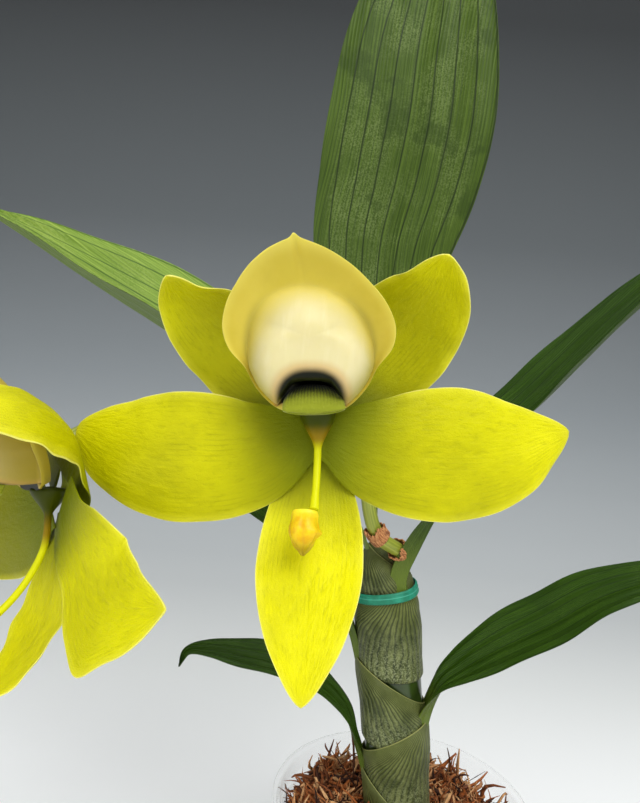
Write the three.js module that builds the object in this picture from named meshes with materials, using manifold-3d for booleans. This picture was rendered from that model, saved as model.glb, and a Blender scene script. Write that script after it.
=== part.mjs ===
// A swan orchid in bloom, in a clear plastic pot: a leafy pseudobulb with six leaves, and a
// flower stem with two blooms that open lip uppermost.
// Millimetres, +Z up, the origin at the centre of the pot's underside. The blooms look towards -Y.
import * as THREE from "three";
import { mergeVertices } from "three/addons/utils/BufferGeometryUtils.js";
import Module from "manifold-3d";

const wasm = await Module();
wasm.setup();

// Driving dimensions, in millimetres
const GAP = 0.35; // air left between two pieces that touch
const POT = { height: 90, rim: 52, foot: 38, wall: 1.2, floor: 1.6 };
const MOSS = { edge: 79, crown: 86, shreds: 36, shredLength: 9, shredWidth: 1.7 };
const BULB = { base: 57, belly: 125, apex: 196, radius: 12.2, footX: 3, lean: -0.139 };
const BULB_SIDES = 16;
const SHEATH = { wall: 0.8, flare: 13 };
const TIE = { height: 172.4, width: 3.8, thick: 1.0, tilt: 2.2 };
const LEAF_THICK = 0.8;
const TEPAL_THICK = 0.8;

const vec = (x, y, z) => new THREE.Vector3(x, y, z);
const radians = THREE.MathUtils.degToRad;
const mix = THREE.MathUtils.lerp;
const smooth = (x, from, to) => THREE.MathUtils.smoothstep(x, from, to);

// A small seeded generator, so that the moss is the same at every build
function seeded(seed) {
  let state = seed;
  return () => {
    state = (state * 16807) % 2147483647;
    return state / 2147483647;
  };
}

// Solids and booleans

function solidOf(geometry) {
  const bare = new THREE.BufferGeometry().setAttribute("position", geometry.getAttribute("position"));
  if (geometry.index) bare.setIndex(geometry.index);
  const merged = mergeVertices(bare, 1e-4);
  const make = (triVerts) =>
    new wasm.Manifold(
      new wasm.Mesh({ numProp: 3, vertProperties: merged.attributes.position.array, triVerts }),
    );
  const triVerts = new Uint32Array(merged.index.array);
  const made = make(triVerts);
  if (made.volume() > 0) return made;
  return make(triVerts.map((_, k) => triVerts[k - (k % 3) + [0, 2, 1][k % 3]]));
}

function geometryOf(solid) {
  const mesh = solid.getMesh();
  const positions = new Float32Array(mesh.numVert * 3);
  for (let k = 0; k < mesh.numVert; k++) {
    positions.set(mesh.vertProperties.subarray(k * mesh.numProp, k * mesh.numProp + 3), k * 3);
  }
  const geometry = new THREE.BufferGeometry();
  geometry.setAttribute("position", new THREE.BufferAttribute(positions, 3));
  geometry.setIndex(new THREE.BufferAttribute(mesh.triVerts, 1));
  return geometry;
}

const joined = (solids) => solids.reduce((sum, next) => sum.add(next));

// The largest body of a solid, without the loose scraps that a cut can leave
function largest(solid) {
  return solid.decompose().reduce((best, next) => (next.volume() > best.volume() ? next : best));
}

// Two faces on a grid, closed along their edges. face(i, j, side) gives a point, with side +1 or -1.
// With wraps the columns go all the way round; with a pole the first row is a single point.
function closedSheet(rows, columns, face, { wraps = false, pole = false } = {}) {
  const across = wraps ? columns : columns + 1;
  const positions = [];
  for (const side of [1, -1]) {
    for (let i = 0; i <= rows; i++) {
      for (let j = 0; j < across; j++) positions.push(...face(i, j, side).toArray());
    }
  }
  const at = (i, j, k) => (k * (rows + 1) + i) * across + (pole && i === 0 ? 0 : j % across);
  const index = [];
  const corner = (a, b, c) => a !== b && b !== c && a !== c && index.push(a, b, c);
  const quad = (a, b, c, d) => {
    corner(a, b, c);
    corner(a, c, d);
  };
  for (let i = 0; i < rows; i++) {
    for (let j = 0; j < columns; j++) {
      quad(at(i, j, 0), at(i, j + 1, 0), at(i + 1, j + 1, 0), at(i + 1, j, 0));
      corner(at(i, j, 1), at(i + 1, j + 1, 1), at(i, j + 1, 1));
      corner(at(i, j, 1), at(i + 1, j, 1), at(i + 1, j + 1, 1));
    }
  }
  for (let j = 0; j < columns; j++) {
    if (!pole) quad(at(0, j + 1, 0), at(0, j, 0), at(0, j, 1), at(0, j + 1, 1));
    quad(at(rows, j, 0), at(rows, j + 1, 0), at(rows, j + 1, 1), at(rows, j, 1));
  }
  for (let i = 0; i < rows && !wraps; i++) {
    quad(at(i, 0, 0), at(i + 1, 0, 0), at(i + 1, 0, 1), at(i, 0, 1));
    quad(at(i + 1, columns, 0), at(i, columns, 0), at(i, columns, 1), at(i + 1, columns, 1));
  }
  const geometry = new THREE.BufferGeometry();
  geometry.setAttribute("position", new THREE.Float32BufferAttribute(positions, 3));
  geometry.setIndex(index);
  return solidOf(geometry);
}

// A closed round body swept along a curve. radius(t) gives its radius, squash flattens it across.
function sweep(points, rows, sides, radius, squash = 1) {
  const curve = new THREE.CatmullRomCurve3(points, false, "centripetal");
  const frames = curve.computeFrenetFrames(rows, false);
  const positions = [];
  const centres = [0, rows].map((i) => curve.getPointAt(i / rows));
  for (let i = 0; i <= rows; i++) {
    const centre = curve.getPointAt(i / rows);
    for (let j = 0; j < sides; j++) {
      const angle = (2 * Math.PI * j) / sides;
      const r = radius(i / rows);
      const point = centre
        .clone()
        .addScaledVector(frames.normals[i], r * Math.cos(angle))
        .addScaledVector(frames.binormals[i], r * squash * Math.sin(angle));
      positions.push(...point.toArray());
    }
  }
  positions.push(...centres[0].toArray(), ...centres[1].toArray());
  const index = [];
  const last = (rows + 1) * sides;
  for (let j = 0; j < sides; j++) {
    const next = (j + 1) % sides;
    for (let i = 0; i < rows; i++) {
      const [a, b] = [i * sides + j, i * sides + next];
      index.push(a, b, b + sides, a, b + sides, a + sides);
    }
    index.push(last, next, j, last + 1, rows * sides + j, rows * sides + next);
  }
  const geometry = new THREE.BufferGeometry();
  geometry.setAttribute("position", new THREE.Float32BufferAttribute(positions, 3));
  geometry.setIndex(index);
  return solidOf(geometry);
}

function lathe(profile, segments) {
  const geometry = new THREE.LatheGeometry(
    profile.map(([r, z]) => new THREE.Vector2(r, z)),
    segments,
  );
  geometry.rotateX(Math.PI / 2);
  return geometry;
}

// Moves each point of a geometry
function reshaped(geometry, move) {
  const place = geometry.getAttribute("position");
  const point = vec(0, 0, 0);
  for (let k = 0; k < place.count; k++) {
    point.fromBufferAttribute(place, k);
    move(point);
    place.setXYZ(k, point.x, point.y, point.z);
  }
  return geometry;
}

// The pseudobulb: its leaning axis and its spindle-shaped radius, shared by all that wraps it

const bulbX = (z) => BULB.footX + BULB.lean * (z - 60);

function bulbRadius(z) {
  if (z < BULB.belly) {
    const down = Math.min(1, (BULB.belly - z) / (BULB.belly - BULB.base));
    return BULB.radius * (1 - 0.52 * down ** 4);
  }
  const up = Math.min(0.999, (z - BULB.belly) / (BULB.apex - BULB.belly + 1));
  return BULB.radius * (1 - up ** 3.2) ** 0.62;
}

const onBulb = (azimuth, radius, z) =>
  vec(bulbX(z) + radius * Math.cos(azimuth), radius * Math.sin(azimuth), z);

// A lathed body round the leaning axis, offset from the pseudobulb's surface
function roundBulb(from, to, offset, rows = 12) {
  const profile = [[0, from]];
  for (let i = 0; i <= rows; i++) {
    const z = mix(from, to, i / rows);
    profile.push([bulbRadius(z) + (typeof offset === "function" ? offset(z) : offset), z]);
  }
  profile.push([0, to]);
  return solidOf(reshaped(lathe(profile, BULB_SIDES), (p) => p.setX(p.x + bulbX(p.z))));
}

function pseudobulb() {
  return roundBulb(BULB.base, BULB.apex, 0, 14);
}

// Leaves: each is a sheath round the pseudobulb that runs on into a stalk and a pleated blade.
// side is the azimuth of the stalk. The sheath starts at node, and its slanting mouth is at
// mouth, higher by rise on the stalk's side. path is the midrib of the blade beyond the mouth.
const LEAVES = [
  {
    name: "leaf_lower_left",
    side: 184, node: 74, mouth: 98, rise: 12,
    path: [[-24, -4, 122], [-29, -5.5, 129.5], [-37.5, -8, 137], [-51, -12, 144.5], [-66, -16, 148.5],
      [-79, -19, 151], [-87.5, -21, 150.5], [-90, -22, 145]],
    halfWidth: 7.5, stalk: 2.6, stalkEnd: 0.12, peak: 0.55,
    facing: [0.1, -0.55, 0.9], fold: [46, 18], wave: 0.8,
  },
  {
    name: "leaf_lower_right",
    side: -22, node: 86, mouth: 122, rise: 11,
    path: [[10.5, -10.5, 140.5], [18, -13, 149], [30, -17, 159.5], [46, -22, 171.5], [61.5, -27, 184.5],
      [76, -32, 193], [89, -36, 197.5], [101, -40, 196]],
    halfWidth: 13.2, stalk: 3.4, stalkEnd: 0.05, peak: 0.54,
    facing: [-0.35, -0.6, 1], fold: [46, 20], wave: 1.0,
  },
  {
    name: "leaf_middle_left",
    side: 184, node: 114, mouth: 142, rise: 10,
    path: [[-29, -4, 163], [-40, -8, 176], [-55, -12, 193], [-68, -16, 204], [-83, -19, 214.5],
      [-98, -22, 222], [-112, -25, 225], [-124, -28, 224]],
    halfWidth: 11, stalk: 3, stalkEnd: 0.16, peak: 0.55,
    facing: [0.3, -0.35, 1], fold: [48, 24], wave: 0.8,
  },
  {
    name: "leaf_upper_right",
    side: -20, node: 141, mouth: 178, rise: 5,
    path: [[-3.2, -6.8, 192.5], [-1.4, -8.6, 204.5], [6.8, -12, 221], [20.5, -15.5, 236.2], [36, -20, 252.5],
      [48, -24.5, 268], [57.5, -30, 281], [67, -37, 293], [76.5, -46, 304], [88, -58, 311]],
    halfWidth: 15, stalk: 4.2, stalkEnd: 0.16, peak: 0.54,
    facing: [-0.72, -0.32, 0.72], fold: [46, 27], wave: 1.2,
  },
  {
    name: "leaf_upper_left",
    side: 184, node: 162, mouth: 187, rise: 5,
    path: [[-31, -3, 203], [-52, -6, 229], [-78, -9, 252], [-104, -14, 269], [-124, -19, 280],
      [-139, -25, 288.5], [-153, -32, 297], [-167, -40, 305]],
    halfWidth: 28, stalk: 3, stalkEnd: 0.12, peak: 0.46,
    facing: [0.56, -0.4, 0.74], fold: [48, 36], wave: 0.8,
  },
  {
    name: "leaf_top",
    side: 150, node: 180, mouth: 192, rise: 2,
    path: [[-21.3, 3.4, 204], [-22.5, 4.5, 232], [-25, 7, 272], [-25.3, 8.5, 314], [-22.4, 8, 342],
      [-19.4, 6, 368], [-16.6, 5, 394], [-14, 6, 420], [-10.5, 9, 448], [-6, 14, 474]],
    halfWidth: 35, stalk: 3, stalkEnd: 0.08, peak: 0.58,
    facing: [-0.06, -1, 0.02], fold: [38, 9], wave: 1.2,
  },
];

// How far the inside face of a leaf's sheath stands off the pseudobulb: close to it at the foot, then
// out over the foot of the next sheath, which does the same in its turn
function sheathOffset(leaf, z) {
  const next = LEAVES[LEAVES.indexOf(leaf) + 1];
  if (!next) return GAP;
  const over = sheathOffset(next, z) + SHEATH.wall + GAP;
  return mix(GAP, over, THREE.MathUtils.clamp((z - next.node + SHEATH.flare) / (SHEATH.flare - 1), 0, 1));
}

function sheath(leaf) {
  const side = radians(leaf.side);
  const highest = leaf.mouth + leaf.rise;
  const levels = [leaf.node];
  for (const { node } of LEAVES) levels.push(node - SHEATH.flare, node - 1);
  for (let z = Math.max(leaf.node, 158) + 5; z < highest - 4; z += 5) levels.push(z);
  levels.push(highest);
  levels.sort((one, two) => one - two);
  levels.splice(0, levels.indexOf(leaf.node));
  levels.splice(levels.indexOf(highest) + 1);
  const rows = levels.length - 1;
  return closedSheet(
    rows,
    BULB_SIDES,
    (i, j, face) => {
      const azimuth = (2 * Math.PI * j) / BULB_SIDES;
      const top = leaf.mouth + leaf.rise * Math.cos(azimuth - side);
      const z = Math.min(levels[i], top - 0.7 * (rows - i));
      const out = sheathOffset(leaf, z) + (face > 0 ? SHEATH.wall : 0);
      return onBulb(azimuth, bulbRadius(z) + out, z);
    },
    { wraps: true },
  );
}

// Half-width of a leaf along its midrib: a narrow stalk, then a lance-shaped blade with a fine tip
function leafHalfWidth(leaf, t) {
  const along = THREE.MathUtils.clamp((t - leaf.stalkEnd) / (1 - leaf.stalkEnd), 0, 1);
  const power = Math.log(0.5) / Math.log(leaf.peak);
  const lance = leaf.halfWidth * Math.sin(Math.PI * along ** power) ** 0.85;
  const stalk = mix(leaf.stalk + 1.6, leaf.stalk, smooth(t, 0, 0.09)) * (1 - along ** 3);
  return Math.max(stalk, lance, 0.5);
}

// A frame on a curve: centre, the way the upper face looks, and the way across.
// The face turns from the first facing at the foot to the second further out.
function bladeFrame(curve, facing, t, settled) {
  const centre = curve.getPointAt(t);
  const tangent = curve.getTangentAt(t);
  const face = vec(...facing[0]).lerp(vec(...facing[1]), smooth(t, 0, settled));
  face.addScaledVector(tangent, -face.dot(tangent)).normalize();
  return { centre, face, across: tangent.clone().cross(face) };
}

const curveThrough = (points) =>
  new THREE.CatmullRomCurve3(points.map((p) => (p.isVector3 ? p : vec(...p))), false, "centripetal");

// The midrib: it starts inside the wall of the sheath, so that the stalk grows out of the mouth
function midrib(leaf) {
  const side = radians(leaf.side);
  const top = leaf.mouth + leaf.rise;
  const root = [top - 11, top - 2.5].map((z) =>
    onBulb(side, bulbRadius(z) + sheathOffset(leaf, z) + SHEATH.wall / 2, z),
  );
  return curveThrough([...root, ...leaf.path]);
}

function leafBlade(leaf) {
  const [rows, rootRows, columns] = [13, 3, 8];
  const curve = midrib(leaf);
  const side = radians(leaf.side);
  const inward = [-Math.cos(side), -Math.sin(side), 0];
  const root = leaf.mouth + leaf.rise;
  return closedSheet(rows, columns, (i, j, face) => {
    const beyond = (i - rootRows) / (rows - rootRows);
    const t = i < rootRows ? (0.1 * i) / rootRows : mix(0.1, 1, beyond ** 0.95);
    const v = (2 * j) / columns - 1;
    const width = leafHalfWidth(leaf, t);
    const opened = smooth(t, leaf.stalkEnd, leaf.stalkEnd + 0.22);
    const fold = radians(mix(leaf.fold[0], leaf.fold[1], opened));
    const pleat = 0.45 * opened * (j % 2 ? 1 : -1) * (Math.abs(v) < 0.99 ? 1 : 0);
    const wave = leaf.wave * opened * v * v * Math.sin(9 * t + 2 * Math.sign(v));
    // At the root the blade follows the round of the sheath, and further out it is a folded blade
    const free = smooth(t, 0.03, 0.1);
    const { centre, face: up, across } = bladeFrame(curve, [inward, leaf.facing], t, 0.4);
    const level = Math.min(centre.z, root - 2);
    const round = bulbRadius(level) + sheathOffset(leaf, level) + SHEATH.wall / 2;
    const turn = (width * v) / round;
    const out = mix(round * Math.sin(turn), width * v * Math.cos(fold), free);
    const rise = mix(round * (1 - Math.cos(turn)), width * Math.abs(v) * Math.sin(fold), free);
    return centre
      .addScaledVector(across, out)
      .addScaledVector(up, rise + pleat + wave + (face * LEAF_THICK) / 2);
  });
}

function leafSolid(leaf) {
  const inner = (z) => sheathOffset(leaf, z) - 0.001;
  const keepOut = roundBulb(leaf.mouth - 8, leaf.mouth + leaf.rise + 12, inner, 9);
  return largest(sheath(leaf).add(leafBlade(leaf).subtract(keepOut)));
}

// The soft plastic tie that holds the upper right stalk against the pseudobulb
function tie() {
  const [rows, columns] = [2, 30];
  const stalkSide = radians(LEAVES[3].side);
  return closedSheet(
    rows,
    columns,
    (i, j, face) => {
      const azimuth = (2 * Math.PI * j) / columns;
      const z = TIE.height + TIE.tilt * Math.cos(azimuth) + TIE.width * (i / rows - 0.5);
      const apart = Math.atan2(Math.sin(azimuth - stalkSide), Math.cos(azimuth - stalkSide));
      const stalk = 0.9 * Math.exp(-((apart / 0.55) ** 2));
      const inner = 2 * (GAP + SHEATH.wall) + GAP + 0.6 + stalk + (i === 1 ? 0 : 0.15);
      return onBulb(azimuth, bulbRadius(z) + inner + (face > 0 ? TIE.thick : 0), z);
    },
    { wraps: true },
  );
}

// The clear pot and what fills it

const wallRadius = (z) => mix(POT.foot, 48.6, z / 80);

function pot() {
  const { height, rim, wall, floor } = POT;
  const profile = [
    [0, 0], [POT.foot - 1, 0], [POT.foot, 1], [48.6, 80], [49.9, 81.6], [50.2, 87.2],
    [rim - 0.5, 87.2], [rim, 87.9], [rim, 89.3], [rim - 0.7, height], [rim - 2.2, height],
    [49.0, 89.3], [48.7, 82.4], [48.6 - wall, 80.8], [POT.foot - wall + 0.2, floor], [0, floor],
  ];
  const drain = { radius: 2.5, circle: 24, count: 4 };
  let solid = solidOf(lathe(profile, 36));
  for (let k = 0; k < drain.count; k++) {
    const angle = (2 * Math.PI * (k + 0.5)) / drain.count;
    const bore = new THREE.CylinderGeometry(drain.radius, drain.radius, 6, 12).rotateX(Math.PI / 2);
    bore.translate(drain.circle * Math.cos(angle), drain.circle * Math.sin(angle), 0);
    solid = solid.subtract(solidOf(bore));
  }
  return solid;
}

// One curled shred of moss, three-sided and tapering
function shred(foot, heading, length, width, curl) {
  const points = [0, 0.5, 1].map((t) =>
    foot
      .clone()
      .addScaledVector(heading, length * (t - 0.25))
      .add(vec(curl.x * t * t, curl.y * t * t, curl.z * t * t)),
  );
  return sweep(points, 2, 3, (t) => width * (1 - 0.75 * t), 0.6);
}

function growingMedium() {
  const random = seeded(41);
  const [rows, columns] = [5, 26];
  const inside = (z) => wallRadius(z) - POT.wall - GAP - 0.25;
  const bump = (a, r) => 1.4 * Math.sin(5 * a + 0.21 * r) + 1.1 * Math.sin(9 * a - 0.3 * r);
  const top = (a, r) => mix(MOSS.crown, MOSS.edge, (r / 47) ** 2) + bump(a, r) * smooth(r, 4, 20);
  const profile = [[0, POT.floor + GAP]];
  profile.push([inside(POT.floor) - 1, POT.floor + GAP], [inside(4), 4], [inside(42), 42]);
  for (let i = 0; i <= rows; i++) profile.push([mix(46, 0, i / rows), 70 + i]);
  const body = reshaped(lathe(profile, columns), (p) => {
    if (p.z < 69) return;
    const r = Math.hypot(p.x, p.y);
    p.setZ(top(Math.atan2(p.y, p.x), r));
  });
  const shreds = [];
  for (let k = 0; k < MOSS.shreds; k++) {
    const angle = 2 * Math.PI * random();
    const r = mix(14, 44, Math.sqrt(random()));
    const foot = vec(r * Math.cos(angle), r * Math.sin(angle), top(angle, r) - 0.8);
    const turn = 2 * Math.PI * random();
    const heading = vec(Math.cos(turn), Math.sin(turn), 0.35 + 0.9 * random()).normalize();
    const curl = vec(4 * (random() - 0.5), 4 * (random() - 0.5), 3 * (random() - 0.6));
    const length = MOSS.shredLength * (0.6 + 0.7 * random());
    shreds.push(shred(foot, heading, length, MOSS.shredWidth * (0.6 + 0.5 * random()), curl));
  }
  const wall = inside(80);
  const room = solidOf(lathe([[0, 1.9], [inside(1.9), 1.9], [wall, 80], [wall, 99], [0, 99]], 36));
  const clear = (z) => GAP + (z > LEAVES[0].node - 2 ? 2 * (SHEATH.wall + GAP) : 0);
  const stemRoom = roundBulb(BULB.base - 1, 112, clear, 20);
  return largest(joined([solidOf(body), ...shreds]).intersect(room).subtract(stemRoom));
}

// The blooms. Each is built in its own frame: x to the viewer's right, y up towards the lip and
// z out of its face, with the origin where its parts meet.

// A sepal or petal: a thin blade on a curve, narrow at its base, with a short point at its tip.
// cup bends its edges forward, or back if it is negative.
function tepal({ path, halfWidth, foot = 4, peak = 0.52, cup = 0.2, facing, blunt = 0.72 }) {
  const [rows, columns] = [10, 6];
  const curve = curveThrough(path);
  const power = Math.log(0.5) / Math.log(peak);
  const facings = facing ?? [[0, 0, 1], [0, 0, 1]];
  return closedSheet(rows, columns, (i, j, side) => {
    const t = (i / rows) ** 0.94;
    const v = (2 * j) / columns - 1;
    const full = Math.sin(Math.PI * t ** power) ** blunt;
    const width = Math.max(foot * (1 - smooth(t, 0.1, 0.5)), halfWidth * full, 0.45);
    const { centre, face, across } = bladeFrame(curve, facings, t, 0.6);
    const bend = cup * smooth(t, 0.02, 0.3);
    const thick = TEPAL_THICK * (1 - 0.25 * v * v);
    return centre
      .addScaledVector(across, width * v * (1 - 0.35 * bend * bend))
      .addScaledVector(face, width * bend * v * v + (side * thick) / 2);
  });
}

// The lip: a fleshy shield. A cream pouch fills its lower middle, open at the bottom round the
// callus, a soft valley runs round the pouch, and the yellow edge flares out to a point at the top.
// Half-outlines from top to bottom, as [across, up].
const LIP_EDGE = [[0, 42.5], [3.6, 40], [9, 37.2], [14.5, 32.5], [18.4, 27.4], [19.4, 22.4], [17, 16.4],
  [13.4, 11], [11.8, 7.4], [8.6, 4.2], [4.6, 3], [0, 2.8]];
const LIP_POUCH = [[0, 32.5], [7, 30.6], [11.6, 26], [13.2, 20], [13.2, 13.5], [12.2, 8.4], [9.8, 6.2],
  [7.6, 7], [6.2, 9.4], [3.6, 11], [0, 11.4]];
const LIP_CENTRE = 20;

function lipOutline(half) {
  const right = half.map(([x, y]) => vec(x, y, 0));
  const left = right.slice(1, -1).reverse().map((p) => vec(-p.x, p.y, 0));
  return new THREE.CatmullRomCurve3([...right, ...left], true, "centripetal");
}

// Where a ray from the lip's centre at the given angle meets an outline
function reachOf(samples, angle) {
  const turned = (p) => Math.atan2(Math.sin(p.angle - angle), Math.cos(p.angle - angle));
  for (let k = 0; k < samples.length; k++) {
    const [one, two] = [samples[k], samples[(k + 1) % samples.length]];
    const [from, to] = [turned(one), turned(two)];
    if (from >= 0 && to < 0 && from - to < 1) return mix(one.reach, two.reach, from / (from - to));
  }
  return samples[0].reach;
}

function lip() {
  const [rings, rows, columns] = [4, 7, 24];
  const edge = lipOutline(LIP_EDGE);
  const pouch = lipOutline(LIP_POUCH)
    .getPoints(240)
    .slice(0, -1)
    .map((p) => ({ angle: Math.atan2(p.y - LIP_CENTRE, p.x), reach: Math.hypot(p.x, p.y - LIP_CENTRE) }));
  return closedSheet(
    rows,
    columns,
    (i, j, side) => {
      const rim = edge.getPoint(j / columns);
      const angle = Math.atan2(rim.y - LIP_CENTRE, rim.x);
      const full = Math.hypot(rim.x, rim.y - LIP_CENTRE);
      const inner = Math.min(reachOf(pouch, angle), full - 0.7);
      const out = Math.max(0, (i - rings) / (rows - rings));
      const reach = i <= rings ? (inner * i) / rings : mix(inner, full, out);
      const x = reach * Math.cos(angle);
      const y = LIP_CENTRE + reach * Math.sin(angle);
      const level = 2.5 + 0.3 * y;
      const low = smooth(-Math.sin(angle), -0.4, 0.8);
      const swell = i < rings ? (14 - 0.13 * y) * (1 - (i / rings) ** mix(2.6, 7, low)) ** 0.55 : 0;
      const flare = 3 * out ** 2;
      const front = level + 2.2 + swell + flare;
      const back = Math.min(front - 0.8, level + flare + 1.4 * out);
      return vec(x - 0.1 * (y - 4), y, side > 0 ? front : back);
    },
    { wraps: true, pole: true },
  );
}

// The dark green, velvety callus in the mouth of the lip
function callus() {
  const points = [[-0.2, 7.4, 9.2], [-0.2, 6.4, 12.4], [-0.1, 4.4, 15], [0, 2.2, 15.8]];
  const radius = (t) => 6 * Math.sqrt(Math.max(0.03, 1 - (0.12 + 0.86 * t) ** 2.6));
  return sweep(points.map((p) => vec(...p)), 6, 12, radius, 0.42);
}

// The arching column, stout at its base, and the anther cap at its end
function column(path) {
  const radius = (t) => mix(2.8, 0.95, smooth(t, 0, 0.34)) + 0.35 * smooth(t, 0.8, 1);
  return sweep(path.map((p) => vec(...p)), 12, 8, radius);
}

function antherCap(path) {
  const radius = (t) => 0.45 + 3.35 * Math.sin(Math.PI * (0.12 + 0.85 * t) ** 0.85) ** 0.7;
  return sweep(path.map((p) => vec(...p)), 7, 10, radius, 0.85);
}

// The tepals of a bloom, as they are unless the bloom changes one
const TEPALS = {
  sepal_lower: {
    path: [[0, -3.8, -1.6], [-0.8, -18, 1.8], [-1.9, -33, 9], [-2.8, -45, 19], [-3.4, -56.5, 30]],
    halfWidth: 12.4, peak: 0.5, cup: 0.14, facing: [[0, 0, 1], [0, 0.6, 0.8]],
  },
  sepal_left: {
    path: [[-3.8, 3.4, -1.6], [-11.4, 12, -4.5], [-22, 22, -2.6], [-30, 29.5, 4.4], [-34.6, 34.8, 14]],
    halfWidth: 13, peak: 0.54, cup: 0.16, facing: [[0, 0, 1], [0.35, -0.35, 1]],
  },
  sepal_right: {
    path: [[3.8, 3.4, -1.6], [12.2, 12.4, -4.5], [21.8, 23.4, -2.6], [28, 31.6, 4.4], [30, 39.6, 14]],
    halfWidth: 12.6, peak: 0.54, cup: 0.16, facing: [[0, 0, 1], [-0.35, -0.35, 1]],
  },
  petal_left: {
    path: [[-3.4, -1, 0.9], [-17, -6, 3], [-32, -7.8, 2.6], [-48, -6.2, -2], [-63, -0.3, -8]],
    halfWidth: 16.4, peak: 0.54, cup: -0.1,
  },
  petal_right: {
    path: [[3.4, -1, 0.9], [17, -5.6, 3], [33, -7.4, 3], [48.5, -6.2, 0], [64, -1.8, -4]],
    halfWidth: 16.8, peak: 0.56, cup: -0.1,
  },
};

const BLOOMS = [
  {
    name: "front", at: [-45.8, -99, 242.3], turn: 0, nod: 0, roll: 4.7, changes: {},
    column: [[0, -1.4, 2.2], [0, -4.3, 3.4], [-0.1, -8, 4.4], [-0.3, -13, 6.4], [-0.8, -17.6, 9.4]],
    anther: [[-1, -18.6, 10.4], [-2, -21.4, 12.8], [-3, -25, 15], [-3.6, -28.8, 15.8]],
  },
  {
    name: "side", at: [-112.2, -91.2, 217.3], turn: 45, nod: 8, roll: 8,
    column: [[0, -1.4, 2.2], [0, -4.4, 3.2], [-0.1, -8, 3.8], [-0.1, -12.6, 5.4], [-0.3, -19.5, 10.5],
      [-0.6, -24.7, 16.9], [-0.6, -27, 22.6]],
    anther: [[-0.6, -27.3, 23.8], [-0.7, -28, 27], [-0.8, -27.8, 30.6], [-0.9, -26.6, 34]],
    changes: {
      sepal_lower: {
        path: [[0, -3.8, -1.6], [0.2, -16, 1.6], [0.6, -30, 7.5], [1.4, -40, 17], [2.4, -45, 30]],
      },
      sepal_left: {
        path: [[-3.8, 3.4, -1.6], [-11, 10.5, -2.6], [-20.5, 17, 2], [-27.4, 21, 10.6], [-28, 22.5, 24]],
        halfWidth: 10,
      },
      sepal_right: {
        path: [[3.8, 3.4, -1.6], [9.5, 10.2, -2.4], [16.9, 18, 2.6], [22.3, 23.7, 11.8], [22.6, 25.7, 21],
          [18, 25, 30]],
        facing: [[0, 0, 1], [-0.66, -0.58, 0.3]], halfWidth: 9.8, cup: 0.3,
      },
      petal_left: {
        path: [[-3.4, -1, 0.9], [-17, -6, 3.5], [-33, -8, 7], [-48, -7, 10], [-62, -2, 13]],
      },
      petal_right: {
        path: [[4.6, 0.2, 0.4], [15.3, -10.4, 3], [27.4, -20.3, 5.1], [40.4, -22.2, 4.7], [53.8, -20.3, 2.4]],
        facing: [[0, 0, 1], [0.11, 0.48, 0.87]],
        halfWidth: 15, foot: 3, peak: 0.47, blunt: 0.95, cup: 0.05,
      },
    },
  },
];

function bloomMatrix(bloom) {
  const basis = new THREE.Matrix4().makeBasis(vec(1, 0, 0), vec(0, 0, 1), vec(0, -1, 0));
  return new THREE.Matrix4()
    .makeTranslation(...bloom.at)
    .multiply(new THREE.Matrix4().makeRotationZ(radians(-bloom.turn)))
    .multiply(basis)
    .multiply(new THREE.Matrix4().makeRotationX(radians(bloom.nod)))
    .multiply(new THREE.Matrix4().makeRotationZ(radians(bloom.roll)));
}

// The green flower stem: it leaves the pseudobulb among the upper leaves, arches forward, and
// branches into the stalk of each bloom.
const STEM_PATH = [[-9.4, -13.2, 183.4], [-10.6, -13.9, 190], [-15.2, -16.4, 198], [-20.6, -20.9, 206.5],
  [-26.5, -28.5, 219], [-32, -38, 232], [-39, -46, 239], [-49, -52, 243], [-62, -56, 243], [-76, -60, 239]];
const STEM_RADIUS = { root: 2.9, end: 2.2 };

// A point in a bloom's own frame, in the frame of the whole plant
const inBloom = (bloom, x, y, z) => vec(x, y, z).applyMatrix4(bloomMatrix(bloom));

function flowerStem() {
  const [front, side] = BLOOMS;
  const thick = (t) => mix(STEM_RADIUS.root, STEM_RADIUS.end, t);
  const main = sweep(STEM_PATH.map((p) => vec(...p)), 20, 8, thick);
  const frontStalk = [
    vec(-37, -44, 238), vec(-42, -55, 244), vec(-45.5, -70, 247),
    inBloom(front, 0, 1, -14), inBloom(front, 0, 0, -2.6),
  ];
  const sideStalk = [
    vec(-70, -58.5, 241), vec(-84, -63, 242.5), vec(-98, -71, 241),
    inBloom(side, -4.5, 13, -10.5), inBloom(side, -1.2, 3.6, -6.2), inBloom(side, -0.5, 0.5, -3),
  ];
  const stalk = (points, end) => sweep(points, 9, 8, (t) => mix(1.7, end, t));
  return joined([main, stalk(frontStalk, 3.3), stalk(sideStalk, 2.6)]);
}

// A papery brown bract: a short torn sleeve round the flower stem at a joint
function bract(from, to) {
  const curve = new THREE.CatmullRomCurve3(STEM_PATH.map((p) => vec(...p)), false, "centripetal");
  const frames = curve.computeFrenetFrames(100, false);
  const [rows, columns] = [2, 14];
  return closedSheet(
    rows,
    columns,
    (i, j, side) => {
      const angle = (2 * Math.PI * j) / columns;
      const torn = 0.008 * Math.sin(3 * angle) + 0.006 * Math.sin(5 * angle + 1);
      const t = mix(from, to + torn, i / rows);
      const k = Math.round(t * 100);
      const inside = mix(STEM_RADIUS.root, STEM_RADIUS.end, t) + GAP + 0.3 + 0.5 * (i / rows);
      const r = inside + (side > 0 ? 0.7 : 0);
      return curve
        .getPointAt(t)
        .addScaledVector(frames.normals[k], r * Math.cos(angle))
        .addScaledVector(frames.binormals[k], r * Math.sin(angle));
    },
    { wraps: true },
  );
}

// Colours and finishes

const finish = (colour, roughness, extra = {}) =>
  new THREE.MeshStandardMaterial({ color: colour, roughness, metalness: 0, ...extra });

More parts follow.
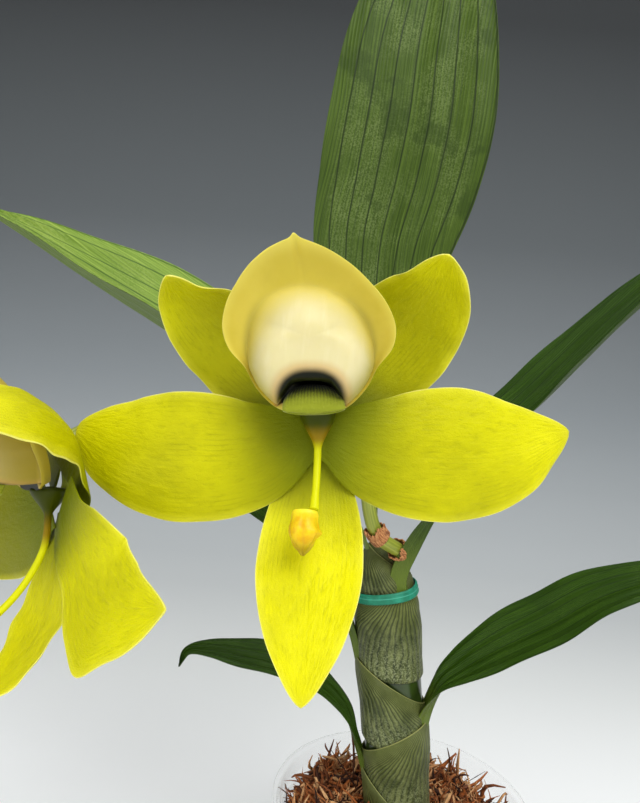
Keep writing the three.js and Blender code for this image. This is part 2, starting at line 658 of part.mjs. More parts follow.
const FINISH = {
  clearPlastic: finish("#e8ecea", 0.15, { transparent: true, opacity: 0.3 }),
  moss: finish("#7a4526", 0.95),
  bulb: finish("#3f5a24", 0.45),
  leaf: finish("#476b2a", 0.5),
  tie: finish("#1f8a74", 0.6),
  stem: finish("#7f9a3c", 0.5),
  bract: finish("#a5714a", 0.9),
  tepal: finish("#c9c80a", 0.5),
  lip: finish("#efe6a4", 0.45),
  callus: finish("#4c6e10", 0.7),
  column: finish("#cfcf14", 0.45),
  anther: finish("#e3b81c", 0.5),
};

const orchid = new THREE.Group();

function place(name, solid, material) {
  const mesh = new THREE.Mesh(geometryOf(solid), material);
  mesh.name = name;
  orchid.add(mesh);
  return mesh;
}

place("pot", pot(), FINISH.clearPlastic);
place("growing_medium", growingMedium(), FINISH.moss);
place("pseudobulb", pseudobulb(), FINISH.bulb);
for (const leaf of LEAVES) place(leaf.name, leafSolid(leaf), FINISH.leaf);
place("plant_tie", tie(), FINISH.tie);
place("flower_stem", flowerStem(), FINISH.stem);
place("bract_lower", bract(0.02, 0.075), FINISH.bract);
place("bract_upper", bract(0.12, 0.17), FINISH.bract);

for (const bloom of BLOOMS) {
  const pieces = [
    ...Object.keys(TEPALS).map((name) => [
      name,
      tepal({ ...TEPALS[name], ...bloom.changes[name] }),
      FINISH.tepal,
    ]),
    ["lip", lip(), FINISH.lip],
    ["callus", callus(), FINISH.callus],
    ["column", column(bloom.column), FINISH.column],
    ["anther_cap", antherCap(bloom.anther), FINISH.anther],
  ];
  const group = new THREE.Group();
  group.applyMatrix4(bloomMatrix(bloom));
  for (const [name, solid, material] of pieces) {
    group.add(place(`bloom_${bloom.name}_${name}`, solid, material));
  }
  orchid.add(group);
}

export default orchid;
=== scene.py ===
"""A swan orchid in bloom in a clear nursery pot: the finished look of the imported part.

Every piece takes its form from the same named values as the part's solids, at a finer grid.
Lengths are in millimetres until a mesh is placed, +Z is up, and the blooms look towards -Y.
"""

import math

import bpy
import numpy as np
from mathutils import Matrix, Vector


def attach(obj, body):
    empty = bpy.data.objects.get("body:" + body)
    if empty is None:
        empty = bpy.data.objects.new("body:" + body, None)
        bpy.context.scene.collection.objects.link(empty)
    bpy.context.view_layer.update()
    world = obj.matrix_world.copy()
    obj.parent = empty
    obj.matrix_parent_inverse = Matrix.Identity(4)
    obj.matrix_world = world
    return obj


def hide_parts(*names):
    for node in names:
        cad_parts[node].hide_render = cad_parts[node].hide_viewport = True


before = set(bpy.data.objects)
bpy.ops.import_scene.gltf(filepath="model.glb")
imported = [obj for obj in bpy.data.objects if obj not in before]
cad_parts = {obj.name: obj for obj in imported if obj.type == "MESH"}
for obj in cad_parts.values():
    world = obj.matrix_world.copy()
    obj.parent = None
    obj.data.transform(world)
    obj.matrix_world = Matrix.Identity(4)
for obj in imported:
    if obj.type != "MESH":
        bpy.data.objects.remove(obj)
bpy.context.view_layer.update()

MM = 0.001
GAP = 0.35
TURN = 2 * math.pi

POT_HEIGHT, POT_RIM, POT_FOOT, POT_WALL, POT_FLOOR = 90, 52, 38, 1.2, 1.6
MOSS_EDGE, MOSS_CROWN = 79, 86
BULB_BASE, BULB_BELLY, BULB_APEX = 57, 125, 196
BULB_RADIUS, BULB_FOOT_X, BULB_LEAN = 12.2, 3, -0.139
SHEATH_WALL, SHEATH_FLARE = 0.8, 13
TIE_HEIGHT, TIE_WIDTH, TIE_THICK, TIE_TILT = 173.8, 3.8, 0.9, 2.9
LEAF_THICK, TEPAL_THICK = 0.8, 0.8

# Leaves from the lowest up. side is the azimuth of the stalk on the pseudobulb; the sheath runs
# from node to its slanting mouth; path is the midrib beyond it.
LEAVES = {
    "lower_left": dict(
        side=184, node=74, mouth=89, rise=13, half_width=7.5, stalk=2.6, stalk_end=0.12, peak=0.55,
        facing=(0.1, -0.55, 0.9), fold=(46, 18), wave=0.8,
        path=[(-24, -4, 122), (-29, -5.5, 129.5), (-37.5, -8, 137), (-51, -12, 144.5),
              (-66, -16, 148.5), (-79, -19, 151), (-87.5, -21, 150.5), (-90, -22, 145)],
    ),
    "lower_right": dict(
        side=-22, node=86, mouth=116.5, rise=8, half_width=13.2, stalk=5.8, stalk_end=0.05, peak=0.54,
        facing=(-0.35, -0.6, 1), fold=(46, 20), wave=1.0,
        path=[(10.5, -10.5, 140.5), (18, -13, 149), (30, -17, 159.5), (46, -22, 171.5),
              (61.5, -27, 184.5), (76, -32, 193), (89, -36, 197.5), (101, -40, 196)],
    ),
    "middle_left": dict(
        side=184, node=114, mouth=138.5, rise=8, half_width=11, stalk=3, stalk_end=0.16, peak=0.55,
        facing=(0.3, -0.35, 1), fold=(48, 24), wave=0.8,
        path=[(-29, -4, 163), (-40, -8, 176), (-55, -12, 193), (-68, -16, 204),
              (-83, -19, 214.5), (-98, -22, 222), (-112, -25, 225), (-124, -28, 224)],
    ),
    "upper_right": dict(
        side=-58, node=141, mouth=171, rise=3, half_width=16.5, stalk=6.2, stalk_end=0.1, peak=0.54,
        facing=(-0.72, -0.32, 0.72), fold=(46, 27), wave=1.2,
        path=[(-6.8, -10.9, 181.5), (-3.8, -12.8, 193), (0.6, -13.8, 205), (8.6, -14.4, 221.5),
              (21, -16, 237.5), (36, -20, 254), (48, -24.5, 269.5), (57.5, -30, 282.8), (67, -37, 295),
              (76.5, -46, 306), (88, -58, 313)],
    ),
    "upper_left": dict(
        side=184, node=162, mouth=187, rise=5, half_width=28, stalk=3, stalk_end=0.12, peak=0.46,
        facing=(0.56, -0.4, 0.74), fold=(48, 36), wave=0.8,
        path=[(-31, -3, 203), (-52, -6, 229), (-78, -9, 252), (-104, -14, 269),
              (-124, -19, 280), (-139, -25, 288.5), (-153, -32, 297), (-167, -40, 305)],
    ),
    "top": dict(
        side=150, node=180, mouth=192, rise=2, half_width=34, stalk=3, stalk_end=0.08, peak=0.58,
        facing=(-0.06, -1, 0.02), fold=(38, 9), wave=1.2,
        path=[(-21.3, 3.4, 204), (-22.5, 4.5, 232), (-25, 7, 272), (-25.3, 8.5, 314),
              (-20.9, 8, 342), (-17.9, 6, 368), (-16.6, 5, 394), (-14, 6, 420),
              (-10.5, 9, 448), (-6, 14, 474)],
    ),
}

# Sepals and petals in a bloom's own frame: x to the viewer's right, y up, z out of its face
# Some sepals and petals are darkened by painted shade, to the share given with each; it is a dark
# green-yellow tint
TEPALS = {
    "sepal_lower": dict(
        path=[(0, -3.8, -1.8), (-0.8, -18, -0.2), (-1.9, -33, 7.6), (-2.8, -45, 18.4), (-3.4, -56.5, 30)],
        half_width=12.8, peak=0.48, blunt=(0.6, 0.72), cup=0.14, facing=((0, 0, 1), (0, 0.6, 0.8)),
    ),
    "sepal_left": dict(
        path=[(-3.8, 3.4, -1.6), (-11.4, 12, -4.5), (-22, 22, -2.6), (-30, 29.5, 4.4), (-34.6, 34.8, 14)],
        half_width=13.8, peak=0.44, blunt=(0.6, 0.7), cup=0.16, tepal_shade=0.45,
        facing=((0, 0, 1), (-0.15, -0.35, 1)),
    ),
    "sepal_right": dict(
        path=[(3.8, 3.4, -1.6), (12.2, 12.4, -4.5), (21.8, 23.4, -2.6), (28, 31.6, 4.4), (30, 39.6, 14)],
        half_width=14.2, peak=0.47, blunt=(0.6, 0.64), cup=0.16, tepal_shade=0.4,
        facing=((0, 0, 1), (-0.35, -0.35, 1)),
    ),
    "petal_left": dict(
        path=[(-1.2, -1.4, 0.6), (-17, -7, 3), (-32, -7.9, 2.6), (-48, -6.6, -2), (-63.6, -1.4, -8)],
        half_width=16.4, peak=0.5, blunt=(0.5, 0.56), foot=7, tepal_shade=0.3, cup=-0.1,
        facing=((0, 0, 1), (0, 0, 1)),
    ),
    "petal_right": dict(
        path=[(1.2, -1.4, 0.6), (17, -6.4, 3), (33, -7.3, 3), (48.5, -6.4, 0), (64.4, -1.7, -4)],
        half_width=16.8, peak=0.5, blunt=(0.5, 0.74), foot=7, tepal_shade=0.3, cup=-0.1,
        facing=((0, 0, 1), (0, 0, 1)),
    ),
}

# Each bloom's lip can be darkened by painted shade, to a share given with it
BLOOMS = {
    "front": dict(
        at=(-45.8, -99, 242.3), turn=0, nod=0, roll=4.7, changes={}, foot=4.4, taper=(0.06, 0.42), lip_shade=0,
        column=[(0, 4.8, 4.2), (0, 0.8, 3.6), (0, -5, 4), (-0.3, -12.5, 6.6), (-0.9, -19.6, 10.6)],
        anther=[(-2.9, -19.4, 11.6), (-3.1, -22.4, 13.2), (-3.3, -25.6, 14.6), (-3.3, -29, 15.4)],
    ),
    "side": dict(
        at=(-112.2, -91.2, 217.3), turn=45, nod=8, roll=8, foot=5, taper=(0.02, 0.2), lip_shade=0.6,
        column=[(0, 3.4, 1.6), (0, -4.4, 3.2), (-0.1, -8, 3.8), (-0.1, -12.6, 5.4),
                (-0.3, -19.5, 10.5), (-0.6, -24.7, 16.9), (-0.6, -27, 22.6)],
        anther=[(-0.6, -27.3, 23.8), (-0.7, -28, 27), (-0.8, -27.8, 30.6), (-0.9, -26.6, 34)],
        # Painted shade darkens the side bloom's left petal most
        changes={
            "sepal_lower": dict(
                path=[(0, -3.8, -1.6), (0.2, -16, 1.6), (0.6, -30, 7.5), (1.4, -40, 17), (2.4, -45, 30)],
            ),
            "sepal_left": dict(
                path=[(-3.8, 3.4, -1.6), (-11, 10.5, -2.6), (-20.5, 17, 2), (-27.4, 21, 10.6),
                      (-28, 22.5, 24)],
                half_width=10, peak=0.54, blunt=(0.72, 0.72),
            ),
            "sepal_right": dict(
                path=[(3.8, 3.4, -1.6), (9.5, 10.2, -2.4), (16.9, 18, 2.6), (22.3, 23.7, 11.8),
                      (22.6, 25.7, 21), (18, 25, 30)],
                facing=((0, 0, 1), (-0.66, -0.58, 0.3)), half_width=9.8, cup=0.3, foot=11.5, tepal_shade=0.3,
                peak=0.54, blunt=(0.72, 0.72),
            ),
            "petal_left": dict(
                path=[(-3.4, -1, 0.9), (-17, -6, 3.5), (-33, -8, 7), (-48, -7, 10), (-62, -2, 13)],
                tepal_shade=0.9,
            ),
            "petal_right": dict(
                path=[(4.6, 0.2, 0.4), (15.3, -10.4, 3), (27.4, -20.3, 5.1), (40.4, -22.2, 4.7),
                      (53.8, -20.3, 2.4)],
                facing=((0, 0, 1), (0.11, 0.48, 0.87)), half_width=15, foot=9, peak=0.47,
                blunt=(0.84, 0.84), corner=2.6, slim=0.42, heel=5, cup=0.05, waves=0.15, tepal_shade=0.18,
            ),
        },
    ),
}

# Half-outlines of the lip's edge and of its cream pouch, from top to bottom
LIP_EDGE = [(0, 43), (1.2, 42), (3.7, 41), (6.8, 39.6), (11.4, 36.4), (15, 32.6), (18, 28.4), (19.8, 23),
            (19, 18.4), (15.6, 14), (13.4, 9.6), (10.6, 6.2), (8.2, 4.4), (4.6, 3.2), (0, 3)]
LIP_POUCH = [(0, 32.5), (7.4, 30.6), (12.4, 26), (14.6, 20), (14.7, 14.5), (13, 9), (10.4, 6),
             (8.6, 4.9), (7, 6.6), (5.2, 9.3), (3, 10.6), (0, 11)]
LIP_POUCH_ROUND = LIP_POUCH[:7] + [(6, 4.6), (0, 4)]
LIP_CENTRE = 20

STEM_PATH = [(-6.2, -7.4, 189.6), (-8.4, -8.6, 191), (-12.1, -11, 193.2), (-17, -13.5, 196.2),
             (-20.9, -15, 200.4), (-23.2, -16.5, 206.2), (-24.8, -18, 212.8), (-26.2, -20, 219.7),
             (-30.6, -26, 230), (-39, -44, 239), (-49, -52, 243), (-62, -56, 243), (-76, -60, 239)]
STEM_ROOT, STEM_END = 2.8, 2.2


def mix(a, b, share):
    return a + (b - a) * share


def smooth(x, low, high):
    share = np.clip((x - low) / (high - low), 0, 1)
    return share * share * (3 - 2 * share)


def unit(vectors):
    return vectors / np.linalg.norm(vectors, axis=-1, keepdims=True)


def stack(*parts):
    return np.stack(np.broadcast_arrays(*parts), axis=-1).astype(float)


class Curve:
    """A centripetal Catmull-Rom curve. at() and tangent() read it by its length, from 0 to 1."""

    def __init__(self, points, closed=False):
        p = np.array(points, float)
        if closed:
            self.knots = np.concatenate([p[-1:], p, p[:2]])
        else:
            self.knots = np.concatenate([[2 * p[0] - p[1]], p, [2 * p[-1] - p[-2]]])
        self.spans = len(self.knots) - 3
        self.steps = np.linspace(0, 1, 401)
        lengths = np.linalg.norm(np.diff(self.point(self.steps), axis=0), axis=1)
        self.length = np.concatenate([[0], np.cumsum(lengths)])

    def point(self, t):
        s = np.clip(t, 0, 1) * self.spans
        k = np.minimum(s.astype(int), self.spans - 1)
        w = (s - k)[..., None]
        a, b, c, d = (self.knots[k + n] for n in range(4))
        ab, bc, cd = (
            np.sqrt(np.linalg.norm(q - p, axis=-1, keepdims=True)) for p, q in ((a, b), (b, c), (c, d))
        )
        out = ((b - a) / ab - (c - a) / (ab + bc) + (c - b) / bc) * bc
        into = ((c - b) / bc - (d - b) / (bc + cd) + (d - c) / cd) * bc
        return b + out * w + (3 * (c - b) - 2 * out - into) * w**2 + (2 * (b - c) + out + into) * w**3

    def share(self, u):
        return np.interp(u * self.length[-1], self.length, self.steps)

    def at(self, u):
        return self.point(self.share(u))

    def tangent(self, u):
        t = self.share(u)
        return unit(self.point(t + 1e-4) - self.point(t - 1e-4))


# Making a mesh


def select_only(piece):
    bpy.ops.object.select_all(action="DESELECT")
    piece.select_set(True)
    bpy.context.view_layer.objects.active = piece


def set_values(piece, name, values):
    """Keeps one number a point on the piece, for its material."""
    attribute = piece.data.attributes.new(name, "FLOAT", "POINT")
    attribute.data.foreach_set("value", np.asarray(values, np.float32))


def close_up(piece):
    """Merges the seams and poles of a rolled grid and turns its faces outwards."""
    select_only(piece)
    bpy.ops.object.mode_set(mode="EDIT")
    bpy.ops.mesh.select_all(action="SELECT")
    bpy.ops.mesh.remove_doubles(threshold=2e-7)
    bpy.ops.mesh.normals_make_consistent(inside=False)
    bpy.ops.object.mode_set(mode="OBJECT")
    bpy.ops.object.shade_smooth()


def rolled(name, rows, columns, place, pattern=None, values=None):
    """A grid rolled into a closed skin. place(along, round) gives its points, pattern(along, round)
    its UV map, and values names more numbers that its material reads."""
    bpy.ops.object.select_all(action="DESELECT")
    bpy.ops.mesh.primitive_grid_add(x_subdivisions=columns, y_subdivisions=rows, size=2)
    piece = bpy.context.object
    piece.name = piece.data.name = name
    mesh = piece.data
    flat = np.empty(len(mesh.vertices) * 3, np.float32)
    mesh.vertices.foreach_get("co", flat)
    flat = flat.reshape(-1, 3).astype(float)
    around = np.round((flat[:, 0] + 1) / 2 * columns) / columns
    along = np.round((flat[:, 1] + 1) / 2 * rows) / rows
    mesh.vertices.foreach_set("co", (place(along, around) * MM).astype(np.float32).ravel())
    corners = np.empty(len(mesh.loops), np.int32)
    mesh.loops.foreach_get("vertex_index", corners)
    uv = pattern(along, around) if pattern else stack(around, along)
    mesh.uv_layers[0].data.foreach_set("uv", uv[corners].astype(np.float32).ravel())
    for key, rule in (values or {}).items():
        set_values(piece, key, rule(along, around) * np.ones(len(along)))
    mesh.update()
    close_up(piece)
    return piece


def joined(name, pieces):
    """Several pieces as one object, with the place of each kept."""
    select_only(pieces[0])
    for piece in pieces:
        piece.select_set(True)
    bpy.ops.object.join()
    pieces[0].name = pieces[0].data.name = name
    return pieces[0]


def finished(piece, material, slot, *nodes):
    """Gives a piece its material, hangs it from the root and hides the CAD nodes that it stands for. Its slot
    is not used.
    """
    if material:
        piece.data.materials.clear()
        piece.data.materials.append(material)
    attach(piece, "root")
    if nodes:
        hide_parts(*nodes)


def ends(t, reach=0.02):
    """1 along a body, and round to 0 at both of its ends."""
    near = np.minimum(np.clip(t / reach, 0, 1), np.clip((1 - t) / reach, 0, 1))
    return np.sqrt(1 - (1 - near) ** 2)


def frames_of(curve, rows):
    """Centres, normals and binormals at even steps of a curve, turned as little as possible."""
    u = np.linspace(0, 1, rows + 1)
    centres, tangents = curve.at(u), curve.tangent(u)
    axis = np.zeros(3)
    axis[np.argmin(np.abs(tangents[0]))] = 1
    sideways = unit(np.cross(tangents[0], axis))
    normals = [np.cross(tangents[0], sideways)]
    for before, after in zip(tangents[:-1], tangents[1:]):
        turn = np.cross(before, after)
        sine = np.linalg.norm(turn)
        normal = normals[-1]
        if sine > 1e-12:
            angle = math.acos(np.clip(before @ after, -1, 1))
            normal = np.array(Matrix.Rotation(angle, 3, turn / sine) @ Matrix.Identity(3)) @ normal
        normals.append(normal)
    normals = np.array(normals)
    return centres, normals, np.cross(tangents, normals)


def swept(name, points, rows, columns, radius, squash=1, relief=None, values=None):
    """A round body along a curve, closed and rounded at its ends."""
    centres, normals, binormals = frames_of(Curve(points), rows)

    def place(along, around):
        k = np.round(along * rows).astype(int)
        angle = TURN * around
        r = radius(along) * ends(along)
        if relief is not None:
            r = r + relief(along, around) * ends(along)
        side = (r * np.cos(angle))[:, None] * normals[k]
        rise = (r * squash * np.sin(angle))[:, None] * binormals[k]
        return centres[k] + side + rise

    return rolled(name, rows, columns, place, values=values)


# The pseudobulb and what wraps it


def bulb_x(z):
    return BULB_FOOT_X + BULB_LEAN * (z - 60)


def bulb_radius(z):
    down = np.clip((BULB_BELLY - z) / (BULB_BELLY - BULB_BASE), 0, 1)
    up = np.clip((z - BULB_BELLY) / (BULB_APEX - BULB_BELLY + 1), 0, 0.999)
    below = BULB_RADIUS * (1 - 0.52 * down**4)
    return np.where(z < BULB_BELLY, below, BULB_RADIUS * (1 - up**3.2) ** 0.62)


def on_bulb(azimuth, radius, z):
    return stack(bulb_x(z) + radius * np.cos(azimuth), radius * np.sin(azimuth), z)


def sheath_offset(name, z):
    """How far the inside face of a leaf's sheath stands off the pseudobulb."""
    order = list(LEAVES)
    later = order[order.index(name) + 1 :]
    if not later:
        return GAP + 0 * z
    over = sheath_offset(later[0], z) + SHEATH_WALL + GAP
    share = np.clip((z - LEAVES[later[0]]["node"] + SHEATH_FLARE) / (SHEATH_FLARE - 1), 0, 1)
    return mix(GAP, over, share)


def pseudobulb():
    def place(along, around):
        z = mix(BULB_BASE, BULB_APEX, along)
        radius = bulb_radius(z) * ends(along, 0.01)
        return on_bulb(TURN * around, radius, z)

    return rolled("pseudobulb_skin", 140, 64, place)


def wrapped(angle):
    return np.arctan2(np.sin(angle), np.cos(angle))


def sheath(name):
    """The sleeve of a leaf: its wall is rolled round the pseudobulb, its mouth slants."""
    leaf = LEAVES[name]
    side = math.radians(leaf["side"])

    def height(azimuth, up):
        top = leaf["mouth"] + leaf["rise"] * np.cos(azimuth - side)
        return mix(leaf["node"], top, up)

    def place(along, around):
        azimuth = side + math.pi + TURN * along
        up = np.clip((1 - np.abs(2 * around - 1)) * 1.04 - 0.02, 0, 1)
        outside = around < 0.5
        z = height(azimuth, up)
        wall = SHEATH_WALL * (1 - 0.45 * smooth(up, 0.9, 1)) * mix(0.3, 1, smooth(up, 0, 0.05))
        edge = ends(up, 0.015)
        wall_here = np.where(outside, 0.5 + 0.5 * edge, 0.5 - 0.5 * edge) * wall
        ribs = 0.05 * np.cos(wrapped(azimuth - side) * 14) * smooth(up, 0, 0.3) * outside
        return on_bulb(azimuth, bulb_radius(z) + sheath_offset(name, z) + wall_here + ribs, z)

    def pattern(along, around):
        up = np.clip((1 - np.abs(2 * around - 1)) * 1.04 - 0.02, 0, 1)
        # Veins run up the sheath and draw together towards the stalk
        fan = 1 - 0.72 * up**2.2
        return stack((2 * along - 1) / fan, up)

    return rolled(f"sheath_{name}", 112, 72, place, pattern)


def blade_frame(curve, facing, t, settled):
    tangent = curve.tangent(t)
    turn = smooth(t, 0, settled)[:, None]
    face = mix(np.array(facing[0], float), np.array(facing[1], float), turn)
    face = unit(face - np.sum(face * tangent, axis=1)[:, None] * tangent)
    return curve.at(t), face, np.cross(tangent, face)


def leaf_half_width(leaf, t):
    along = np.clip((t - leaf["stalk_end"]) / (1 - leaf["stalk_end"]), 0, 1)
    power = math.log(0.5) / math.log(leaf["peak"])
    lance = leaf["half_width"] * np.maximum(0, np.sin(math.pi * along**power)) ** 0.85
    stalk = mix(leaf["stalk"] + 1.6, leaf["stalk"], smooth(t, 0, 0.09)) * (1 - along**3)
    return np.maximum(np.maximum(stalk, lance), 0.5)


def flat_round(around):
    """Across a blade's flattened section: from -1 to 1, and the share of its thickness."""
    v = np.cos(TURN * around)
    s = np.sin(TURN * around)
    return v, np.sign(s) * np.abs(s) ** 0.4


def leaf_blade(name):
    """A leaf beyond its sheath: a stalk that clasps, then a pleated blade that opens and arches over."""
    leaf = LEAVES[name]
    side = math.radians(leaf["side"])
    inward = (-math.cos(side), -math.sin(side), 0)
    top = leaf["mouth"] + leaf["rise"]
    root = [
        tuple(on_bulb(side, bulb_radius(z) + sheath_offset(name, z) + SHEATH_WALL / 2, z))
        for z in (np.float64(top - 11), np.float64(top - 2.5))
    ]
    curve = Curve(root + leaf["path"])

    def place(t, around):
        v, side_share = flat_round(around)
        width = leaf_half_width(leaf, t) * ends(t, 0.006)
        opened = smooth(t, leaf["stalk_end"], leaf["stalk_end"] + 0.22)
        fold = np.radians(mix(leaf["fold"][0], leaf["fold"][1], opened))
        pleat = -0.45 * np.cos(2 * TURN * v) * opened * (1 - v**12)
        fine = 0.07 * np.cos(8 * TURN * v + 0.6 * np.sin(5 * t)) * opened * (1 - v**12)
        wave = leaf["wave"] * opened * v * v * np.sin(9 * t + 2 * np.sign(v))
        ripple = 0.35 * opened * v**4 * np.sin(31 * t + 3 * v + leaf["side"])
        free = smooth(t, 0.03, 0.1)
        centre, up, across = blade_frame(curve, (inward, leaf["facing"]), t, 0.4)
        level = np.minimum(centre[:, 2], top - 2)
        rounding = bulb_radius(level) + sheath_offset(name, level) + SHEATH_WALL / 2
        angle = width * v / rounding
        out = mix(rounding * np.sin(angle), width * v * np.cos(fold), free)
        rise = mix(rounding * (1 - np.cos(angle)), width * np.abs(v) * np.sin(fold), free)
        keel = 0.5 * np.exp(-((v / 0.06) ** 2)) * (side_share < 0) * smooth(t, 0.05, 0.2) * (1 - t)
        thick = LEAF_THICK * (0.62 + 0.45 * smooth(t, 0.02, 0.09)) * (1 - 0.35 * v**4) * ends(t, 0.004)
        lift = rise + pleat + fine + wave + ripple + side_share * thick / 2 - keel
        return centre + across * out[:, None] + up * lift[:, None]

    def pattern(t, around):
        v, _ = flat_round(around)
        return stack(v * leaf_half_width(leaf, t) / leaf["half_width"], t)

    return rolled(
        f"blade_{name}", 150, 104, place, pattern,
        values={
            "across": lambda t, around: np.cos(TURN * around),
            "underside": lambda t, around: (np.sin(TURN * around) < 0).astype(float),
        },
    )


def plant_tie():
    """The soft band round the pseudobulb and the upper right stalk: two cords at its edges, a rib between."""
    stalk_side = math.radians(LEAVES["upper_right"]["side"])

    def place(along, around):
        azimuth = TURN * along
        v, side_share = flat_round(around)
        z = TIE_HEIGHT + TIE_TILT * np.cos(azimuth) + TIE_WIDTH * v / 2
        apart = wrapped(azimuth - stalk_side)
        stalk = 0.9 * np.exp(-((apart / 0.55) ** 2))
        inner = 2 * (GAP + SHEATH_WALL) + GAP + 0.1 + stalk
        cords = 0.13 * (np.exp(-(((v - 0.72) / 0.13) ** 2)) + np.exp(-(((v + 0.72) / 0.13) ** 2)))
        rib = 0.12 * np.exp(-(((v - 0.1) / 0.1) ** 2))
        out = inner + TIE_THICK * (0.5 + 0.5 * side_share) + (cords + rib - 0.1) * (side_share > 0)
        return on_bulb(azimuth, bulb_radius(z) + out, z)

    return rolled("tie_band", 160, 40, place, lambda along, around: stack(np.cos(TURN * around), along))


# The pot and its filling


def wall_radius(z):
    return mix(POT_FOOT, 48.6, z / 80)


def pot_shell():
    """A blow-moulded nursery pot: floor, tapering wall, a step under the rim, and the rolled rim."""
    profile = [
        (0, 0), (12, 0), (POT_FOOT - 1.6, 0), (POT_FOOT - 0.5, 0.25), (POT_FOOT, 1), (POT_FOOT + 0.15, 2.2),
        (wall_radius(20), 20), (wall_radius(40), 40), (wall_radius(60), 60), (48.45, 79), (48.8, 80.4),
        (49.7, 81.3), (49.9, 82.2), (50.15, 86.4), (50.4, 87.1), (51.2, 87.3), (51.8, 87.6), (POT_RIM, 88.2),
        (POT_RIM, 89.1), (51.7, 89.75), (51.1, POT_HEIGHT), (50.3, POT_HEIGHT), (49.6, 89.85), (49.1, 89.4),
        (48.9, 88.5), (48.7, 82.6), (48.45, 81.8), (47.6, 80.9), (47.4, 80.2),
        (wall_radius(60) - POT_WALL, 60), (wall_radius(40) - POT_WALL, 40), (wall_radius(20) - POT_WALL, 20),
        (POT_FOOT - POT_WALL + 0.25, 2.4), (POT_FOOT - POT_WALL - 0.4, POT_FLOOR), (12, POT_FLOOR),
        (0, POT_FLOOR),
    ]
    outline = np.array(profile, float)

    def place(along, around):
        k = np.round(along * (len(outline) - 1)).astype(int)
        r, z = outline[k].T
        return stack(r * np.cos(TURN * around), r * np.sin(TURN * around), z)

    piece = rolled("pot_shell", len(outline) - 1, 144, place)
    for k in range(4):
        angle = TURN * (k + 0.5) / 4
        bpy.ops.object.select_all(action="DESELECT")
        bpy.ops.mesh.primitive_cylinder_add(
            vertices=32, radius=2.5 * MM, depth=6 * MM,
            location=(24 * MM * math.cos(angle), 24 * MM * math.sin(angle), 0),
        )
        drill = bpy.context.object
        select_only(piece)
        cut = piece.modifiers.new("drain", "BOOLEAN")
        cut.object = drill
        cut.solver = "EXACT"
        bpy.ops.object.modifier_apply(modifier=cut.name)
        bpy.data.objects.remove(drill)
    select_only(piece)
    bpy.ops.object.shade_smooth_by_angle(angle=math.radians(50))
    return piece


def moss_top(angle, r):
    bump = 1.4 * np.sin(5 * angle + 0.21 * r) + 1.1 * np.sin(9 * angle - 0.3 * r)
    return mix(MOSS_CROWN, MOSS_EDGE, (r / 47) ** 2) + bump * smooth(r, 4, 20)


def moss_bed():
    """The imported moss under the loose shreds, pressed against the wall of the pot."""
    wall = wall_radius(1.0 * MOSS_EDGE) - POT_WALL - GAP - 0.35

    def place(along, around):
        angle = TURN * around
        down = np.clip((along - 0.5) / 0.5, 0, 1)
        flat = np.clip(along / 0.5, 0, 1)
        low = np.clip((down - 0.86) / 0.14, 0, 1)
        r_top = wall * flat
        rough = 0.8 * np.sin(17 * angle + 2.3 * np.sin(0.6 * r_top)) * np.sin(0.9 * r_top)
        z_top = moss_top(angle, r_top) + rough * smooth(flat, 0.1, 0.4) - 1.2
        z_wall = mix(MOSS_EDGE - 1.5, 2.2, np.clip(down / 0.86, 0, 1))
        press = 0.3 * (1 + np.sin(23 * angle + 4 * np.sin(0.35 * z_wall)) * np.sin(0.8 * z_wall + 3 * angle))
        r_wall = wall_radius(z_wall) - POT_WALL - GAP - 0.2 - press
        z = np.where(along <= 0.5, z_top, z_wall)
        r = np.where(along <= 0.5, r_top, r_wall) * (1 - low)
        return stack(r * np.cos(angle), r * np.sin(angle), z)

    return rolled("moss_bed", 120, 192, place)


def fibres(name, roots, headings, bends, lengths, widths, tones, rows=7, sides=3):
    """Many curled flat shreds in one mesh, each tapering to both ends."""
    t = np.linspace(0, 1, rows + 1)
    count = len(roots)
    line = roots[:, None] + headings[:, None] * (lengths[:, None] * t)[..., None]
    line = line + bends[:, None, :3] * (t**2)[None, :, None] * lengths[:, None, None]
    line = line + bends[:, None, 3:] * np.sin(TURN * t)[None, :, None] * lengths[:, None, None] * 0.22
    tangent = unit(np.gradient(line, axis=1))
    sideways = unit(np.cross(tangent, unit(np.roll(headings, 1, axis=1) + 0.31)[:, None]))
    third = np.cross(tangent, sideways)
    width = widths[:, None] * (0.15 + 0.85 * np.sin(math.pi * np.clip(t, 0.02, 0.98)) ** 0.6)
    angle = TURN * np.arange(sides) / sides
    ring = (
        sideways[:, :, None] * np.cos(angle)[None, None, :, None]
        + 0.38 * third[:, :, None] * np.sin(angle)[None, None, :, None]
    )
    points = line[:, :, None] + ring * width[:, :, None, None]
    base = (np.arange(count) * (rows + 1) * sides)[:, None]
    i, j = np.meshgrid(np.arange(rows), np.arange(sides), indexing="ij")
    quad = np.stack(
        [
            i * sides + j, i * sides + (j + 1) % sides,
            (i + 1) * sides + (j + 1) % sides, (i + 1) * sides + j,
        ],
        axis=-1,
    ).reshape(-1, 4)
    caps = np.array([np.arange(sides)[::-1], rows * sides + np.arange(sides)])
    faces = (base[:, :, None] + quad[None]).reshape(-1, 4).tolist()
    faces += (base[:, :, None] + caps[None]).reshape(-1, sides).tolist()
    mesh = bpy.data.meshes.new(name)
    mesh.from_pydata((points.reshape(-1, 3) * MM).tolist(), [], faces)
    piece = bpy.data.objects.new(name, mesh)
    bpy.context.scene.collection.objects.link(piece)
    set_values(piece, "tone", np.repeat(tones, (rows + 1) * sides))
    select_only(piece)
    bpy.ops.object.mode_set(mode="EDIT")
    bpy.ops.mesh.select_all(action="SELECT")
    bpy.ops.mesh.normals_make_consistent(inside=False)
    bpy.ops.object.mode_set(mode="OBJECT")
    bpy.ops.object.shade_smooth()
    return piece


